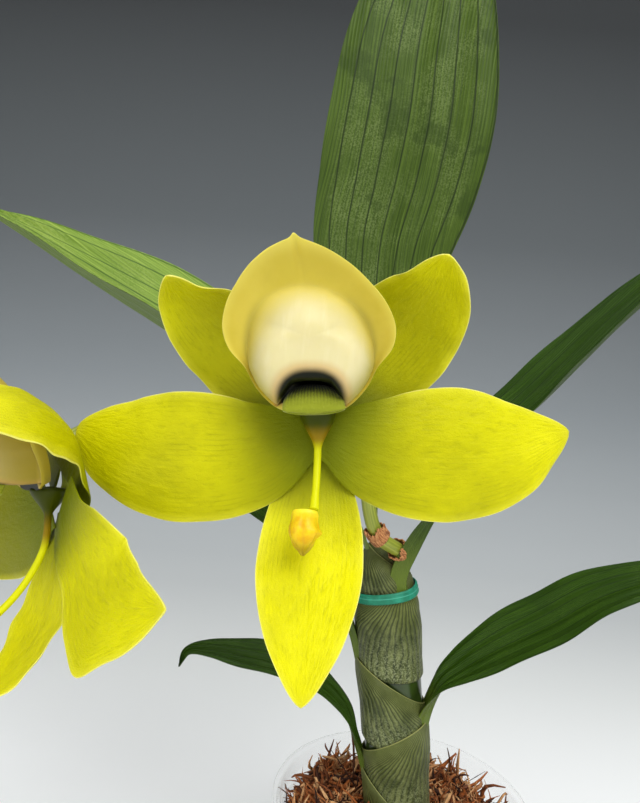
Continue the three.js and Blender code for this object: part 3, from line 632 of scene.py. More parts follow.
def moss_shreds():
    """Loose curled shreds of dried moss over the bed."""
    random = np.random.default_rng(41)
    count = 4300
    angle = TURN * random.random(count)
    r = mix(6.0, 44.5, np.sqrt(random.random(count)))
    up = random.random(count)
    roots = stack(r * np.cos(angle), r * np.sin(angle), moss_top(angle, r) - 1.6 + 2.2 * up**2)
    turn = TURN * random.random(count)
    steep = mix(-0.3, 0.65, random.random(count) ** 1.6)
    headings = unit(stack(np.cos(turn), np.sin(turn), steep))
    bends = random.normal(0, 0.7, (count, 6))
    lengths = mix(2.5, 9, random.random(count) ** 1.8)
    widths = mix(0.45, 1.5, random.random(count) ** 1.7)
    tones = random.random(count)
    # Near the wall the shreds lie along it and stay inside it
    reach = np.hypot(roots[:, 0] + headings[:, 0] * lengths, roots[:, 1] + headings[:, 1] * lengths)
    inward = np.clip((reach - 44) / 6, 0, 1)[:, None]
    away = -unit(stack(np.cos(angle), np.sin(angle), 0 * angle))
    headings = unit(headings * (1 - inward) + inward * (away * 0.8 + np.array([0, 0, 0.5])))
    # None grows inside the pseudobulb's sheaths
    stem = np.hypot(roots[:, 0] - bulb_x(roots[:, 2]), roots[:, 1]) > 15.5
    keep = np.flatnonzero(stem)
    return fibres(
        "moss_shreds", roots[keep], headings[keep], bends[keep], lengths[keep], widths[keep], tones[keep],
    )


# The blooms


def bloom_matrix(bloom):
    turn = Matrix.Rotation(-math.radians(bloom["turn"]), 4, "Z")
    basis = Matrix(((1, 0, 0, 0), (0, 0, -1, 0), (0, 1, 0, 0), (0, 0, 0, 1)))
    nod = Matrix.Rotation(math.radians(bloom["nod"]), 4, "X")
    roll = Matrix.Rotation(math.radians(bloom["roll"]), 4, "Z")
    return np.array(Matrix.Translation(bloom["at"]) @ turn @ basis @ nod @ roll)


def in_bloom(bloom, points):
    matrix = bloom_matrix(bloom)
    return np.asarray(points, float) @ matrix[:3, :3].T + matrix[:3, 3]


def tepal(bloom_name, name):
    """A sepal or petal: a fleshy blade with fine lengthwise veins and a slightly waved edge."""
    bloom = BLOOMS[bloom_name]
    form = {
        "foot": 5, "corner": 0, "slim": 0, "heel": 0, "waves": 1, "tepal_shade": 0,
        **TEPALS[name], **bloom["changes"].get(name, {}),
    }
    curve = Curve(form["path"])
    power = math.log(0.5) / math.log(form["peak"])
    phase = sum(map(ord, bloom_name + name))

    def half_width(t):
        blunt = mix(form["blunt"][0], form["blunt"][1], smooth(t, 0.4, 0.6))
        full = form["half_width"] * np.maximum(0, np.sin(math.pi * t**power)) ** blunt
        foot = form["foot"] * (1 - smooth(t, 0.1, 0.5))
        return (foot**8 + full**8 + 0.45**8) ** (1 / 8)

    def place(t, around):
        v, side_share = flat_round(around)
        width = half_width(t) * ends(t, 0.008)
        centre, face, across = blade_frame(curve, form["facing"], t, 0.6)
        bend = form["cup"] * smooth(t, 0.02, 0.3)
        thick = TEPAL_THICK * (1 - 0.3 * v * v) * ends(t, 0.006)
        body = smooth(t, 0.05, 0.3) * smooth(1 - t, 0, 0.12)
        veins = 0.025 * np.cos(9.5 * TURN * v * (0.6 + 0.4 * np.sin(math.pi * t))) * (1 - v**8)
        swell = 0.3 * np.sin(7 * t + 2.2 * v + phase) * np.cos(2.5 * v - 3 * t)
        waved = 0.45 * v**6 * np.sin(19 * t + 4 * v + phase) + 0.25 * v**4 * np.sin(37 * t + phase)
        middle = -0.16 * np.exp(-((v / 0.09) ** 2)) * smooth(1 - t, 0.02, 0.5)
        uneven = body * (veins + middle + form["waves"] * (swell + waved))
        lift = width * bend * v * v + side_share * thick / 2 + uneven
        # One edge of the side bloom's petal runs straight to a corner
        corner = form["corner"] * np.exp(-(((t - 0.64) / 0.06) ** 2))
        heel = form["heel"] * np.exp(-(((t - 0.1) / 0.12) ** 2))
        slim = form["slim"] * np.exp(-(((t - 0.4) / 0.15) ** 2)) * (v > 0)
        out = width * v * (1 - 0.35 * bend * bend) * (1 - slim) + (corner + heel) * smooth(v, 0.1, 1)
        return in_bloom(bloom, centre + across * out[:, None] + face * lift[:, None])

    def pattern(t, around):
        v, _ = flat_round(around)
        return stack(v, t)

    return rolled(
        f"{name}_{bloom_name}", 96, 104, place, pattern,
        values={
            "edge_mm": lambda t, around: np.minimum(
                half_width(t) * (1 - np.abs(np.cos(TURN * around))), (1 - t) * 50
            ),
            # Painted shade: full at the base and fading out towards the tip
            "tepal_shade": lambda t, around: form["tepal_shade"] * (1 - 0.8 * smooth(t, 0.55, 0.95)),
        },
    )


def lip(bloom_name):
    """The lip: a fleshy shield with a cream pouch, open at the bottom round the callus."""
    bloom = BLOOMS[bloom_name]

    def outline(half):
        points = [(x, y, 0) for x, y in half] + [(-x, y, 0) for x, y in half[-2:0:-1]]
        return Curve(points, closed=True)

    edge = outline(LIP_EDGE)

    def reach_of(half, angle):
        points = outline(half).point(np.linspace(0, 1, 1201)[:-1])
        angles = np.arctan2(points[:, 1] - LIP_CENTRE, points[:, 0])
        order = np.argsort(angles)
        reach = np.hypot(points[:, 1] - LIP_CENTRE, points[:, 0])
        return np.interp(angle, angles[order], reach[order], period=TURN)

    def shape(along, around):
        rim = edge.point(around)
        angle = np.arctan2(rim[:, 1] - LIP_CENTRE, rim[:, 0])
        full = np.hypot(rim[:, 1] - LIP_CENTRE, rim[:, 0])
        s = 1 - np.abs(2 * along - 1)  # 0 at the middle, 1 at the rim, on both faces
        ring = np.clip(s / 0.7, 0, 1)
        ring = 1 - (1 - ring) ** 1.5
        # The mouth's notch only shows near the pouch's edge, so its middle stays smooth
        pouch = mix(reach_of(LIP_POUCH_ROUND, angle), reach_of(LIP_POUCH, angle), ring**2)
        inner = np.minimum(pouch, full - 0.7)
        out = np.clip((s - 0.7) / 0.3, 0, 1)
        out = 1 - (1 - out) ** 1.6
        reach = np.where(s <= 0.7, inner * ring, mix(inner, full, out))
        low = smooth(-np.sin(angle), -0.4, 0.8)
        return angle, reach, ring, out, low, s

    def place(along, around):
        angle, reach, ring, out, low, s = shape(along, around)
        x = reach * np.cos(angle)
        y = LIP_CENTRE + reach * np.sin(angle)
        level = 2.5 + 0.3 * y
        swell = (14 - 0.13 * y) * np.maximum(0, 1 - ring ** mix(2.6, 7, low)) ** mix(1.25, 0.55, low)
        flare = 3 * out**2 * (1 - 0.8 * low)
        front = level + 2.2 + swell + flare
        back = np.minimum(front - 0.8, level + flare + 1.4 * out)
        crease = -0.5 * np.exp(-((x / 1.1) ** 2)) * smooth(y, 26, 40)
        front = front + crease
        middle, half = (front + back) / 2, (front - back) / 2
        rounding = np.sqrt(np.clip(1 - ((s - 0.96) / 0.04).clip(0, 1) ** 2, 0, 1))
        z = middle + np.where(along < 0.5, 1, -1) * half * rounding
        lean = -1.5 - 0.0039 * np.maximum(0, y - 12) ** 2
        return in_bloom(bloom, stack(x + lean, y, z))

    def cream(along, around):
        _, _, ring, out, low, _ = shape(along, around)
        inside = 1 - smooth(ring + out, mix(0.42, 0.93, low), mix(1.15, 1.08, low))
        return np.where(along <= 0.5, inside, 0)

    # The mouth's dark paint: partly the lip's own black-green, partly painted shade in the hollow round the
    # callus
    def mouth(along, around):
        angle, reach, _, out, _, _ = shape(along, around)
        x, y = reach * np.cos(angle), LIP_CENTRE + reach * np.sin(angle)
        arch = (np.abs(x / 7) ** 2.4 + np.maximum(0, (y - 5) / 7.2) ** 2.4) ** (1 / 2.4)
        lobes = smooth(out, 0.6, 0.95) * smooth(np.abs(x), 5.5, 7.5)
        return np.where(along <= 0.5, (1.6 - arch) * (1 - lobes), 0)

    def rim(along, around):
        return 1 - np.abs(2 * along - 1)

    # Painted shade in the crease round the pouch, where it meets the shield, except at its top
    def valley_shade(along, around):
        angle, _, ring, out, _, _ = shape(along, around)
        sideways = 1 - smooth(np.sin(angle), 0.35, 0.9)
        return np.exp(-(((ring + out - 1.04) / 0.16) ** 2)) * sideways * (along <= 0.5)

    # Painted shade over the whole lip, for the side bloom that stands in shade
    def lip_shade(along, around):
        return bloom["lip_shade"]

    values = {"cream": cream, "mouth": mouth, "rim": rim, "valley_shade": valley_shade, "lip_shade": lip_shade}
    return rolled(f"lip_{bloom_name}", 140, 200, place, values=values)


def callus(bloom_name):
    """The velvety green callus in the mouth of the lip: a broad tongue with a crisp level rim."""
    bloom = BLOOMS[bloom_name]
    curve = Curve([(-1, 9, 7.4), (-1, 8.2, 11), (-0.9, 5.9, 14.6), (-0.8, 3.1, 16.2)])

    def place(t, around):
        v = np.cos(TURN * around)
        rise = np.sin(TURN * around)
        width = mix(4.4, 7.1, smooth(t, 0, 0.9)) * ends(t, 0.03)
        bulge = np.where(rise > 0, mix(1.2, 2.6, smooth(t, 0, 0.7)) * (1 - smooth(t, 0.75, 1) * 0.7), 0.7)
        centre, face, across = blade_frame(curve, ((0, 1, 0.4), (0, 0.7, 1)), t * (1 - 0.07 * v**4), 0.9)
        hairs = 0.08 * np.cos(46 * v + 3 * np.sin(9 * t)) * smooth(rise, 0.1, 0.6) * np.sin(math.pi * t)
        rim = 0.35 * smooth(t, 0.84, 0.92) * (1 - smooth(t, 0.94, 1)) * (rise > 0)
        lift = rise * bulge * ends(t, 0.03) + hairs + rim
        return in_bloom(bloom, centre + across * (width * v)[:, None] + face * lift[:, None])

    return rolled(f"callus_{bloom_name}", 70, 96, place, values={
        "tip": lambda t, around: t, "across": lambda t, around: np.cos(TURN * around),
    })


def column(bloom_name):
    """The column: a stout foot that narrows into a thin arched filament."""
    bloom = BLOOMS[bloom_name]

    def radius(t):
        return mix(bloom["foot"], 0.9, smooth(t, *bloom["taper"])) + 0.3 * smooth(t, 0.8, 1)

    return swept(
        f"column_{bloom_name}", in_bloom(bloom, bloom["column"]), 80, 32, radius,
        values={"tip": lambda t, around: t},
    )


def anther_cap(bloom_name):
    """A waxy golden cap: square shoulders, lengthwise grooves and a small beak."""
    bloom = BLOOMS[bloom_name]

    def radius(t):
        taper = np.maximum(0.05, 1 - np.maximum(0, (t - 0.45) / 0.57) ** 1.6)
        return 3.6 * taper * mix(0.76, 1, smooth(t, 0, 0.45))

    def relief(t, around):
        grooves = -0.4 * np.abs(np.cos(2.5 * TURN * around + 0.4)) ** 8 * smooth(t, 0, 0.4)
        shoulder = 0.35 * np.exp(-(((t - 0.08) / 0.1) ** 2)) * np.cos(2 * TURN * around)
        knob = 0.8 * np.exp(-(((t - 0.5) / 0.09) ** 2)) * np.maximum(0, np.cos(TURN * (around - 0.56))) ** 4
        ragged = 0.25 * np.sin(17 * t + 5 * np.sin(TURN * around)) * smooth(t, 0.5, 0.8)
        return grooves + shoulder + knob + ragged

    return swept(
        f"anther_cap_{bloom_name}", in_bloom(bloom, bloom["anther"]), 60, 48, radius, squash=0.85,
        relief=relief, values={"tip": lambda t, around: t},
    )


# The flower stem


def flower_stem():
    """The arching stem, with a grooved stalk to each bloom."""
    front, side = BLOOMS["front"], BLOOMS["side"]
    main = swept("stem_main", STEM_PATH, 120, 32, lambda t: mix(STEM_ROOT, STEM_END, t))
    front_stalk = [(-37, -44, 238), (-42, -55, 244), (-45.5, -70, 247)]
    front_stalk += [tuple(p) for p in in_bloom(front, [(0, 1, -14), (0, 0, -2.6)])]
    side_stalk = [(-70, -58.5, 241), (-84, -63, 242), (-98, -69, 239.5)]
    behind = [(-10, 14, -8.5), (-7, 8, -7), (-2.5, 2.5, -5), (-0.5, 0, -3)]
    side_stalk += [tuple(p) for p in in_bloom(side, behind)]

    def grooved(t, around):
        return 0.1 * np.cos(6 * TURN * around) * smooth(t, 0.4, 0.9)

    stalks = [
        swept("stalk_front", front_stalk, 70, 28, lambda t: mix(1.7, 3.3, t), relief=grooved),
        swept("stalk_side", side_stalk, 70, 28, lambda t: mix(1.7, 2.6, t), relief=grooved),
    ]
    return joined("flowering_stem", [main, *stalks])


def bract(name, low, high, seed):
    """A dried papery bract: a crumpled, torn sleeve round a joint of the flower stem."""
    curve = Curve(STEM_PATH)
    steps = 200
    centres, normals, binormals = frames_of(curve, steps)

    def place(along, around):
        angle = TURN * along
        up = 1 - np.abs(2 * around - 1)
        outside = np.where(around < 0.5, 1.0, 0.0)
        torn = 0.006 * np.sin(3 * angle) + 0.004 * np.sin(5 * angle + 1)
        frayed = 0.002 * np.sin(17 * angle + seed) + 0.0015 * np.sin(29 * angle)
        t = mix(low, high + torn + frayed, up)
        k = t * steps
        below = np.clip(k.astype(int), 0, steps - 1)
        w = (k - below)[:, None]
        centre, normal, binormal = (mix(a[below], a[below + 1], w) for a in (centres, normals, binormals))
        crumple = 0.16 * np.sin(11 * angle + 5 * up + seed) * up + 0.08 * np.sin(23 * angle - 9 * up)
        wall = 0.7 * outside * ends(up, 0.06) * (1 - 0.4 * up)
        r = mix(STEM_ROOT, STEM_END, t) + GAP + 0.3 + 0.5 * up + wall
        r = r + np.maximum(crumple, -0.3) * (0.3 + up)
        return centre + normal * (r * np.cos(angle))[:, None] + binormal * (r * np.sin(angle))[:, None]

    def pattern(along, around):
        return stack(along, 1 - np.abs(2 * around - 1))

    return rolled(name, 120, 28, place, pattern)


# Materials


def linear(code):
    """An sRGB hex colour as linear RGBA."""
    parts = [int(code[k : k + 2], 16) / 255 for k in (1, 3, 5)]
    return (*(c / 12.92 if c <= 0.04045 else ((c + 0.055) / 1.055) ** 2.4 for c in parts), 1)


def plug(tree, node, inputs):
    """Fills inputs of a node, each with a value, a hex colour or another node's output to link."""
    for key, value in inputs.items():
        if isinstance(value, bpy.types.NodeSocket):
            tree.links.new(value, node.inputs[key])
        else:
            node.inputs[key].default_value = linear(value) if isinstance(value, str) else value


def add(tree, kind, inputs=None, **settings):
    """Adds one node with its settings and links."""
    node = tree.nodes.new("ShaderNode" + kind)
    for key, value in settings.items():
        setattr(node, key, value)
    plug(tree, node, inputs or {})
    return node


def blank(name, colour):
    """A material with only its shader and its output."""
    material = bpy.data.materials.new(name)
    material.use_nodes = True
    material.diffuse_color = linear(colour)
    tree = material.node_tree
    tree.nodes.clear()
    shader = add(tree, "BsdfPrincipled", {"Base Color": colour})
    add(tree, "OutputMaterial", {"Surface": shader.outputs[0]})
    return material, tree, shader


# A Map Range node with this setting eases in and out
SOFT = {"interpolation_type": "SMOOTHSTEP"}


def coat(tree, under, over, value, low, high, share=1.0):
    """Lays one colour over another, up to its share, where the value goes from low to high."""
    steps = {0: value, 1: low, 2: high, 3: 0.0, 4: share}
    shown = add(tree, "MapRange", steps, **SOFT).outputs[0]
    return add(tree, "Mix", {0: shown, 6: under, 7: over}, data_type="RGBA").outputs[2]


def petal_tissue():
    """Living tepal: thick waxy cells. They sparkle, the veins are greener, and the thin edge is paler, partly
    as a painted highlight. Painted shade darkens the bases and some tepals throughout.
    """
    material, tree, shader = blank("waxy_tepal_tissue", "#CFC70C")
    place = add(tree, "TexCoord").outputs["Object"]
    uv = add(tree, "UVMap").outputs[0]
    split = add(tree, "SeparateXYZ", {0: uv})
    inset = add(tree, "Attribute", attribute_name="edge_mm").outputs["Fac"]
    tepal_shade = add(tree, "Attribute", attribute_name="tepal_shade").outputs["Fac"]
    # Veins about 1.3 mm apart that wander, each showing only here and there
    drift = add(tree, "TexNoise", {"Vector": place, "Scale": 60.0, "Detail": 3.0}).outputs[0]
    lines = add(tree, "Math", {0: split.outputs[0], 1: 78.0}, operation="MULTIPLY").outputs[0]
    bent = add(tree, "Math", {0: drift, 1: 9.0, 2: lines}, operation="MULTIPLY_ADD").outputs[0]
    wave = add(tree, "Math", {0: bent}, operation="SINE").outputs[0]
    here = add(tree, "TexNoise", {"Vector": place, "Scale": 120.0}).outputs[0]
    here = add(tree, "MapRange", {0: here, 1: 0.45, 2: 0.65}, **SOFT).outputs[0]
    vein = add(tree, "MapRange", {0: wave, 1: 0.35, 2: 1.0, 4: 0.3}, **SOFT).outputs[0]
    vein = add(tree, "Math", {0: vein, 1: here}, operation="MULTIPLY").outputs[0]
    # Faint wrinkles, about two millimetres wide and five long
    fold_place = add(tree, "Mapping", {"Vector": uv, "Scale": (9.0, 14.0, 1.0)}).outputs[0]
    folds = add(tree, "TexNoise", {
        "Vector": fold_place, "Scale": 1.0, "Detail": 5.0, "Roughness": 0.6,
    }).outputs[0]
    cloud = add(tree, "TexNoise", {
        "Vector": place, "Scale": 45.0, "Detail": 4.0, "Roughness": 0.6,
    }).outputs[0]
    colour = coat(tree, "#C9C400", "#DCD700", cloud, 0.35, 0.7)
    # The wrinkles are also painted lighter on their crests and darker in their hollows: painted highlight and
    # painted shade
    colour = coat(tree, colour, "#E6E008", folds, 0.5, 0.72, 0.4)
    colour = coat(tree, colour, "#B0AC00", folds, 0.46, 0.34, 0.35)
    colour = add(tree, "Mix", {0: vein, 6: colour, 7: "#A3A300"}, data_type="RGBA").outputs[2]
    # Painted shade, as a dark green-yellow tint, on tepals that stand in shade
    colour = add(tree, "Mix", {0: tepal_shade, 6: colour, 7: "#6E7200"}, data_type="RGBA").outputs[2]
    # Darker towards the base: partly the tepal's own greener base, partly painted shade at the bloom's centre
    colour = coat(tree, colour, "#667000", split.outputs[1], 0.44, 0.04, 0.95)
    # The edge is painted paler: partly the tissue's own pale margin, partly a painted highlight where the rim
    # catches light
    beyond = add(tree, "MapRange", {0: split.outputs[1], 1: 0.15, 2: 0.4}, **SOFT).outputs[0]
    pale = add(tree, "MapRange", {0: inset, 1: 2.6, 2: 0.3, 4: 0.3}, **SOFT).outputs[0]
    pale = add(tree, "Math", {0: pale, 1: beyond}, operation="MULTIPLY").outputs[0]
    colour = add(tree, "Mix", {0: pale, 6: colour, 7: "#E6DF3C"}, data_type="RGBA").outputs[2]
    thin = add(tree, "MapRange", {0: inset, 1: 0.35, 2: 0.1, 4: 0.55}, **SOFT).outputs[0]
    thin = add(tree, "Math", {0: thin, 1: beyond}, operation="MULTIPLY").outputs[0]
    colour = add(tree, "Mix", {0: thin, 6: colour, 7: "#EDE88A"}, data_type="RGBA").outputs[2]
    # Epidermis cells are 0.05 mm; they are drawn at 0.3 mm, so that the sparkle shows
    cells = add(tree, "TexVoronoi", {"Vector": place, "Scale": 3200.0}).outputs[0]
    fine = add(tree, "TexNoise", {"Vector": place, "Scale": 900.0, "Detail": 3.0}).outputs[0]
    relief = add(tree, "Math", {0: cells, 1: 0.6, 2: fine}, operation="MULTIPLY_ADD").outputs[0]
    pebbled = add(tree, "Bump", {"Strength": 0.45, "Distance": 0.0002, "Height": relief}).outputs[0]
    wrinkled = add(tree, "Bump", {"Strength": 0.55, "Distance": 0.0007, "Height": folds, "Normal": pebbled})
    plug(tree, shader, {
        "Base Color": colour, "Normal": wrinkled.outputs[0], "Roughness": 0.45, "IOR": 1.42,
        "Specular IOR Level": 0.16, "Subsurface Weight": 0.2,
        "Subsurface Radius": (0.003, 0.003, 0.0003), "Subsurface Scale": 0.35,
    })
    return material


def lip_tissue():
    """The lip's flesh: cream and satiny on the pouch, lemon on the shield, black-green in the mouth, partly
    its own colour and partly painted shade there. Painted shade also darkens the crease round the pouch, and
    the whole of the side bloom's lip."""
    material, tree, shader = blank("satin_lip_tissue", "#EFE7B4")
    place = add(tree, "TexCoord").outputs["Object"]
    cream = add(tree, "Attribute", attribute_name="cream").outputs["Fac"]
    mouth = add(tree, "Attribute", attribute_name="mouth").outputs["Fac"]
    rim = add(tree, "Attribute", attribute_name="rim").outputs["Fac"]
    cloud = add(tree, "TexNoise", {"Vector": place, "Scale": 70.0, "Detail": 4.0}).outputs[0]
    # Streaks about 2.4 mm wide and 17 mm long
    streak_place = add(tree, "Mapping", {"Vector": place, "Scale": (420.0, 60.0, 60.0)}).outputs[0]
    streaks = add(tree, "TexNoise", {"Vector": streak_place, "Scale": 1.0, "Detail": 4.0}).outputs[0]
    shield = coat(tree, "#C4B23E", "#D2C04C", cloud, 0.3, 0.7)
    shield = coat(tree, shield, "#E4D86C", rim, 0.84, 0.97, 0.4)
    pouch = coat(tree, "#D9CE9C", "#CFC38A", cloud, 0.35, 0.75)
    pouch = coat(tree, pouch, "#E2D9B0", streaks, 0.5, 0.75, 0.35)
    colour = add(tree, "Mix", {0: cream, 6: shield, 7: pouch}, data_type="RGBA").outputs[2]
    # Painted shade in the crease round the pouch
    valley_shade = add(tree, "Attribute", attribute_name="valley_shade").outputs["Fac"]
    valley_shade = add(tree, "Math", {0: valley_shade, 1: 0.65}, operation="MULTIPLY").outputs[0]
    colour = add(tree, "Mix", {0: valley_shade, 6: colour, 7: "#A59638"}, data_type="RGBA").outputs[2]
    # Painted shade over a whole lip, to its bloom's share
    lip_shade = add(tree, "Attribute", attribute_name="lip_shade").outputs["Fac"]
    colour = add(tree, "Mix", {0: lip_shade, 6: colour, 7: "#A28A1E"}, data_type="RGBA").outputs[2]
    # The tan fringe and black-green mouth: partly the lip's own colour, partly painted shade in the hollow
    # round the callus
    colour = coat(tree, colour, "#C29A5E", mouth, 0.1, 0.42, 0.6)
    colour = coat(tree, colour, "#0B1002", mouth, 0.34, 0.6)
    fine = add(tree, "TexNoise", {"Vector": place, "Scale": 700.0, "Detail": 3.0}).outputs[0]
    bump = add(tree, "Bump", {"Strength": 0.2, "Distance": 0.0002, "Height": fine})
    plug(tree, shader, {
        "Base Color": colour, "Normal": bump.outputs[0], "Roughness": 0.42, "IOR": 1.42,
        "Specular IOR Level": 0.22, "Subsurface Weight": 0.3,
        "Subsurface Radius": (0.005, 0.004, 0.0015), "Subsurface Scale": 0.4,
    })
    return material


def callus_velvet():
    """Velvety callus tissue: dense short papillae, hatched dark in the mouth and a light yellow-green at its
    edge. Deep in the mouth the dark is partly its own black-green and partly painted shade under the lip.
    """
    material, tree, shader = blank("velvet_callus_tissue", "#4C6E10")
    place = add(tree, "TexCoord")
    tip = add(tree, "Attribute", attribute_name="tip").outputs["Fac"]
    speckle = add(tree, "TexNoise", {"Vector": place.outputs["Object"], "Scale": 1500.0, "Detail": 3.0})
    across = add(tree, "Attribute", attribute_name="across").outputs["Fac"]
    # Rows of papillae about 0.7 mm apart at the rim
    turns = add(tree, "Math", {0: across, 1: 60.0}, operation="MULTIPLY").outputs[0]
    turns = add(tree, "Math", {0: speckle.outputs[0], 1: 5.0, 2: turns}, operation="MULTIPLY_ADD").outputs[0]
    hatching = add(tree, "Math", {0: turns}, operation="SINE").outputs[0]
    # The hatching darkens the part deep in the mouth: partly its own dark rows, partly painted shade under
    # the lip
    upper = add(tree, "MapRange", {0: tip, 1: 0.92, 2: 0.45, 4: 0.9}, **SOFT).outputs[0]
    dark = add(tree, "MapRange", {0: hatching, 1: -0.4, 2: 0.8}, **SOFT).outputs[0]
    dark = add(tree, "Math", {0: dark, 1: upper}, operation="MULTIPLY").outputs[0]
    # Darker towards its upper end, in the mouth: partly its own black-green, partly painted shade under the
    # lip's dome
    colour = coat(tree, "#2E3606", "#868E14", tip, 0.1, 0.9)
    colour = coat(tree, colour, "#9AA030", speckle.outputs[0], 0.5, 0.8, 0.4)
    colour = add(tree, "Mix", {0: dark, 6: colour, 7: "#1A2205"}, data_type="RGBA").outputs[2]
    bump = add(tree, "Bump", {"Strength": 0.6, "Distance": 0.0003, "Height": speckle.outputs[0]})
    plug(tree, shader, {
        "Base Color": colour, "Normal": bump.outputs[0], "Roughness": 0.75, "Sheen Weight": 0.15,
        "Specular IOR Level": 0.25,
    })
    return material


def column_flesh():
    """The column's flesh: very dark green-yellow and ochre at its stout foot, the dark partly painted shade
    among the tepals' bases; clear yellow along the filament.
    """
    material, tree, shader = blank("waxy_column_tissue", "#D3D10E")
    tip = add(tree, "Attribute", attribute_name="tip").outputs["Fac"]
    # Very dark at the foot: partly its own colour, partly painted shade where it sits among the tepals' bases
    colour = coat(tree, "#3C4402", "#8C7208", tip, 0.14, 0.3)
    colour = coat(tree, colour, "#D2D208", tip, 0.3, 0.44)
    plug(tree, shader, {
        "Base Color": colour, "Roughness": 0.38, "Specular IOR Level": 0.12, "Subsurface Weight": 0.2,
        "Subsurface Radius": (0.003, 0.003, 0.0006), "Subsurface Scale": 0.3,
    })
    return material


def anther_wax():
    """The anther cap: opaque golden wax, pale where it starts and dark khaki at the beak."""
    material, tree, shader = blank("golden_anther_wax", "#E6B615")
    place = add(tree, "TexCoord")
    tip = add(tree, "Attribute", attribute_name="tip").outputs["Fac"]
    cloud = add(tree, "TexNoise", {"Vector": place.outputs["Object"], "Scale": 420.0, "Detail": 4.0})
    colour = coat(tree, "#D8A408", "#E4C20E", cloud.outputs[0], 0.35, 0.65)
    colour = coat(tree, colour, "#A08C0C", tip, 0.55, 1.0)
    colour = coat(tree, colour, "#F0DC28", tip, 0.3, 0.0)
    bump = add(tree, "Bump", {"Strength": 0.3, "Distance": 0.0002, "Height": cloud.outputs[0]})
    plug(tree, shader, {
        "Base Color": colour, "Normal": bump.outputs[0], "Roughness": 0.4, "Specular IOR Level": 0.25,
        "Subsurface Weight": 0.15, "Subsurface Radius": (0.003, 0.0015, 0.0004),
        "Subsurface Scale": 0.3,
    })
    return material


def leaf_surface(name, dark, light, sheen, under, vein, stalk, roughness, blotch):
    """A pleated leaf's cuticle: parallel veins, a paler midrib and uneven blotches of green."""
    material, tree, shader = blank(name, dark)
    place = add(tree, "TexCoord").outputs["Object"]
    uv = add(tree, "UVMap").outputs[0]
    split = add(tree, "SeparateXYZ", {0: uv})
    across = add(tree, "Attribute", attribute_name="across").outputs["Fac"]
    below = add(tree, "Attribute", attribute_name="underside").outputs["Fac"]
    side = add(tree, "Math", {0: across}, operation="ABSOLUTE").outputs[0]
    drift = add(tree, "TexNoise", {"Vector": place, "Scale": 18.0, "Detail": 3.0}).outputs[0]
    # Streaks under a millimetre wide, and some 35 mm long on the broadest leaf
    long_place = add(tree, "Mapping", {"Vector": uv, "Scale": (16.0, 2.4, 1.0)}).outputs[0]
    streaks = add(tree, "TexNoise", {
        "Vector": long_place, "Scale": 3.0, "Detail": 6.0, "Roughness": 0.65,
    }).outputs[0]
    # Fine veins about 1.4 mm apart on the broadest leaf, and a strong one on each fold of the pleats
    lines = add(tree, "Math", {0: split.outputs[0], 1: 150.0}, operation="MULTIPLY").outputs[0]
    lines = add(tree, "Math", {0: drift, 1: 5.0, 2: lines}, operation="MULTIPLY_ADD").outputs[0]
    fine = add(tree, "Math", {0: lines}, operation="SINE").outputs[0]
    strong = add(tree, "Math", {0: across, 1: 2 * TURN * 2}, operation="MULTIPLY").outputs[0]
    strong = add(tree, "Math", {0: drift, 1: 1.2, 2: strong}, operation="MULTIPLY_ADD").outputs[0]
    strong = add(tree, "Math", {0: strong}, operation="COSINE").outputs[0]
    patches = add(tree, "TexNoise", {
        "Vector": place, "Scale": 30.0, "Detail": 5.0, "Roughness": 0.6,
    }).outputs[0]
    # Clouds where the painted sheen lies
    wax = add(tree, "TexNoise", {"Vector": place, "Scale": 60.0, "Detail": 4.0}).outputs[0]
    grain = add(tree, "TexNoise", {"Vector": place, "Scale": 1500.0, "Detail": 2.0}).outputs[0]
    colour = coat(tree, dark, light, streaks, 0.3, 0.7)
    # Painted sheen: greyer, lighter patches for light off the leaf. It lies in clouds, in fine grains, and
    # not at the very edge
    sheen_share = add(tree, "MapRange", {0: wax, 1: 0.35, 2: 0.65, 4: 0.5}, **SOFT).outputs[0]
    for value, low, high in ((side, 0.95, 0.7), (grain, 0.35, 0.65)):
        shown = add(tree, "MapRange", {0: value, 1: low, 2: high}, **SOFT).outputs[0]
        sheen_share = add(tree, "Math", {0: sheen_share, 1: shown}, operation="MULTIPLY").outputs[0]
    colour = add(tree, "Mix", {0: sheen_share, 6: colour, 7: sheen}, data_type="RGBA").outputs[2]
    colour = coat(tree, colour, dark, patches, 0.54, 0.62, blotch)
    colour = coat(tree, colour, vein, fine, 0.3, 1.0, 0.3)
    colour = coat(tree, colour, vein, strong, 0.93, 1.0, 0.85)
    half = add(tree, "Math", {0: below, 1: 0.7}, operation="MULTIPLY").outputs[0]
    colour = add(tree, "Mix", {0: half, 6: colour, 7: under}, data_type="RGBA").outputs[2]
    colour = coat(tree, colour, stalk, split.outputs[1], 0.22, 0.08, 0.65)
    colour = coat(tree, colour, light, side, 0.022, 0.0, 0.8)
    height = add(tree, "Math", {0: fine, 1: 0.3, 2: streaks}, operation="MULTIPLY_ADD").outputs[0]
    bump = add(tree, "Bump", {"Strength": 0.4, "Distance": 0.0004, "Height": height})
    plug(tree, shader, {
        "Base Color": colour, "Normal": bump.outputs[0], "Roughness": roughness,
        "Specular IOR Level": 0.16,
    })
    return material


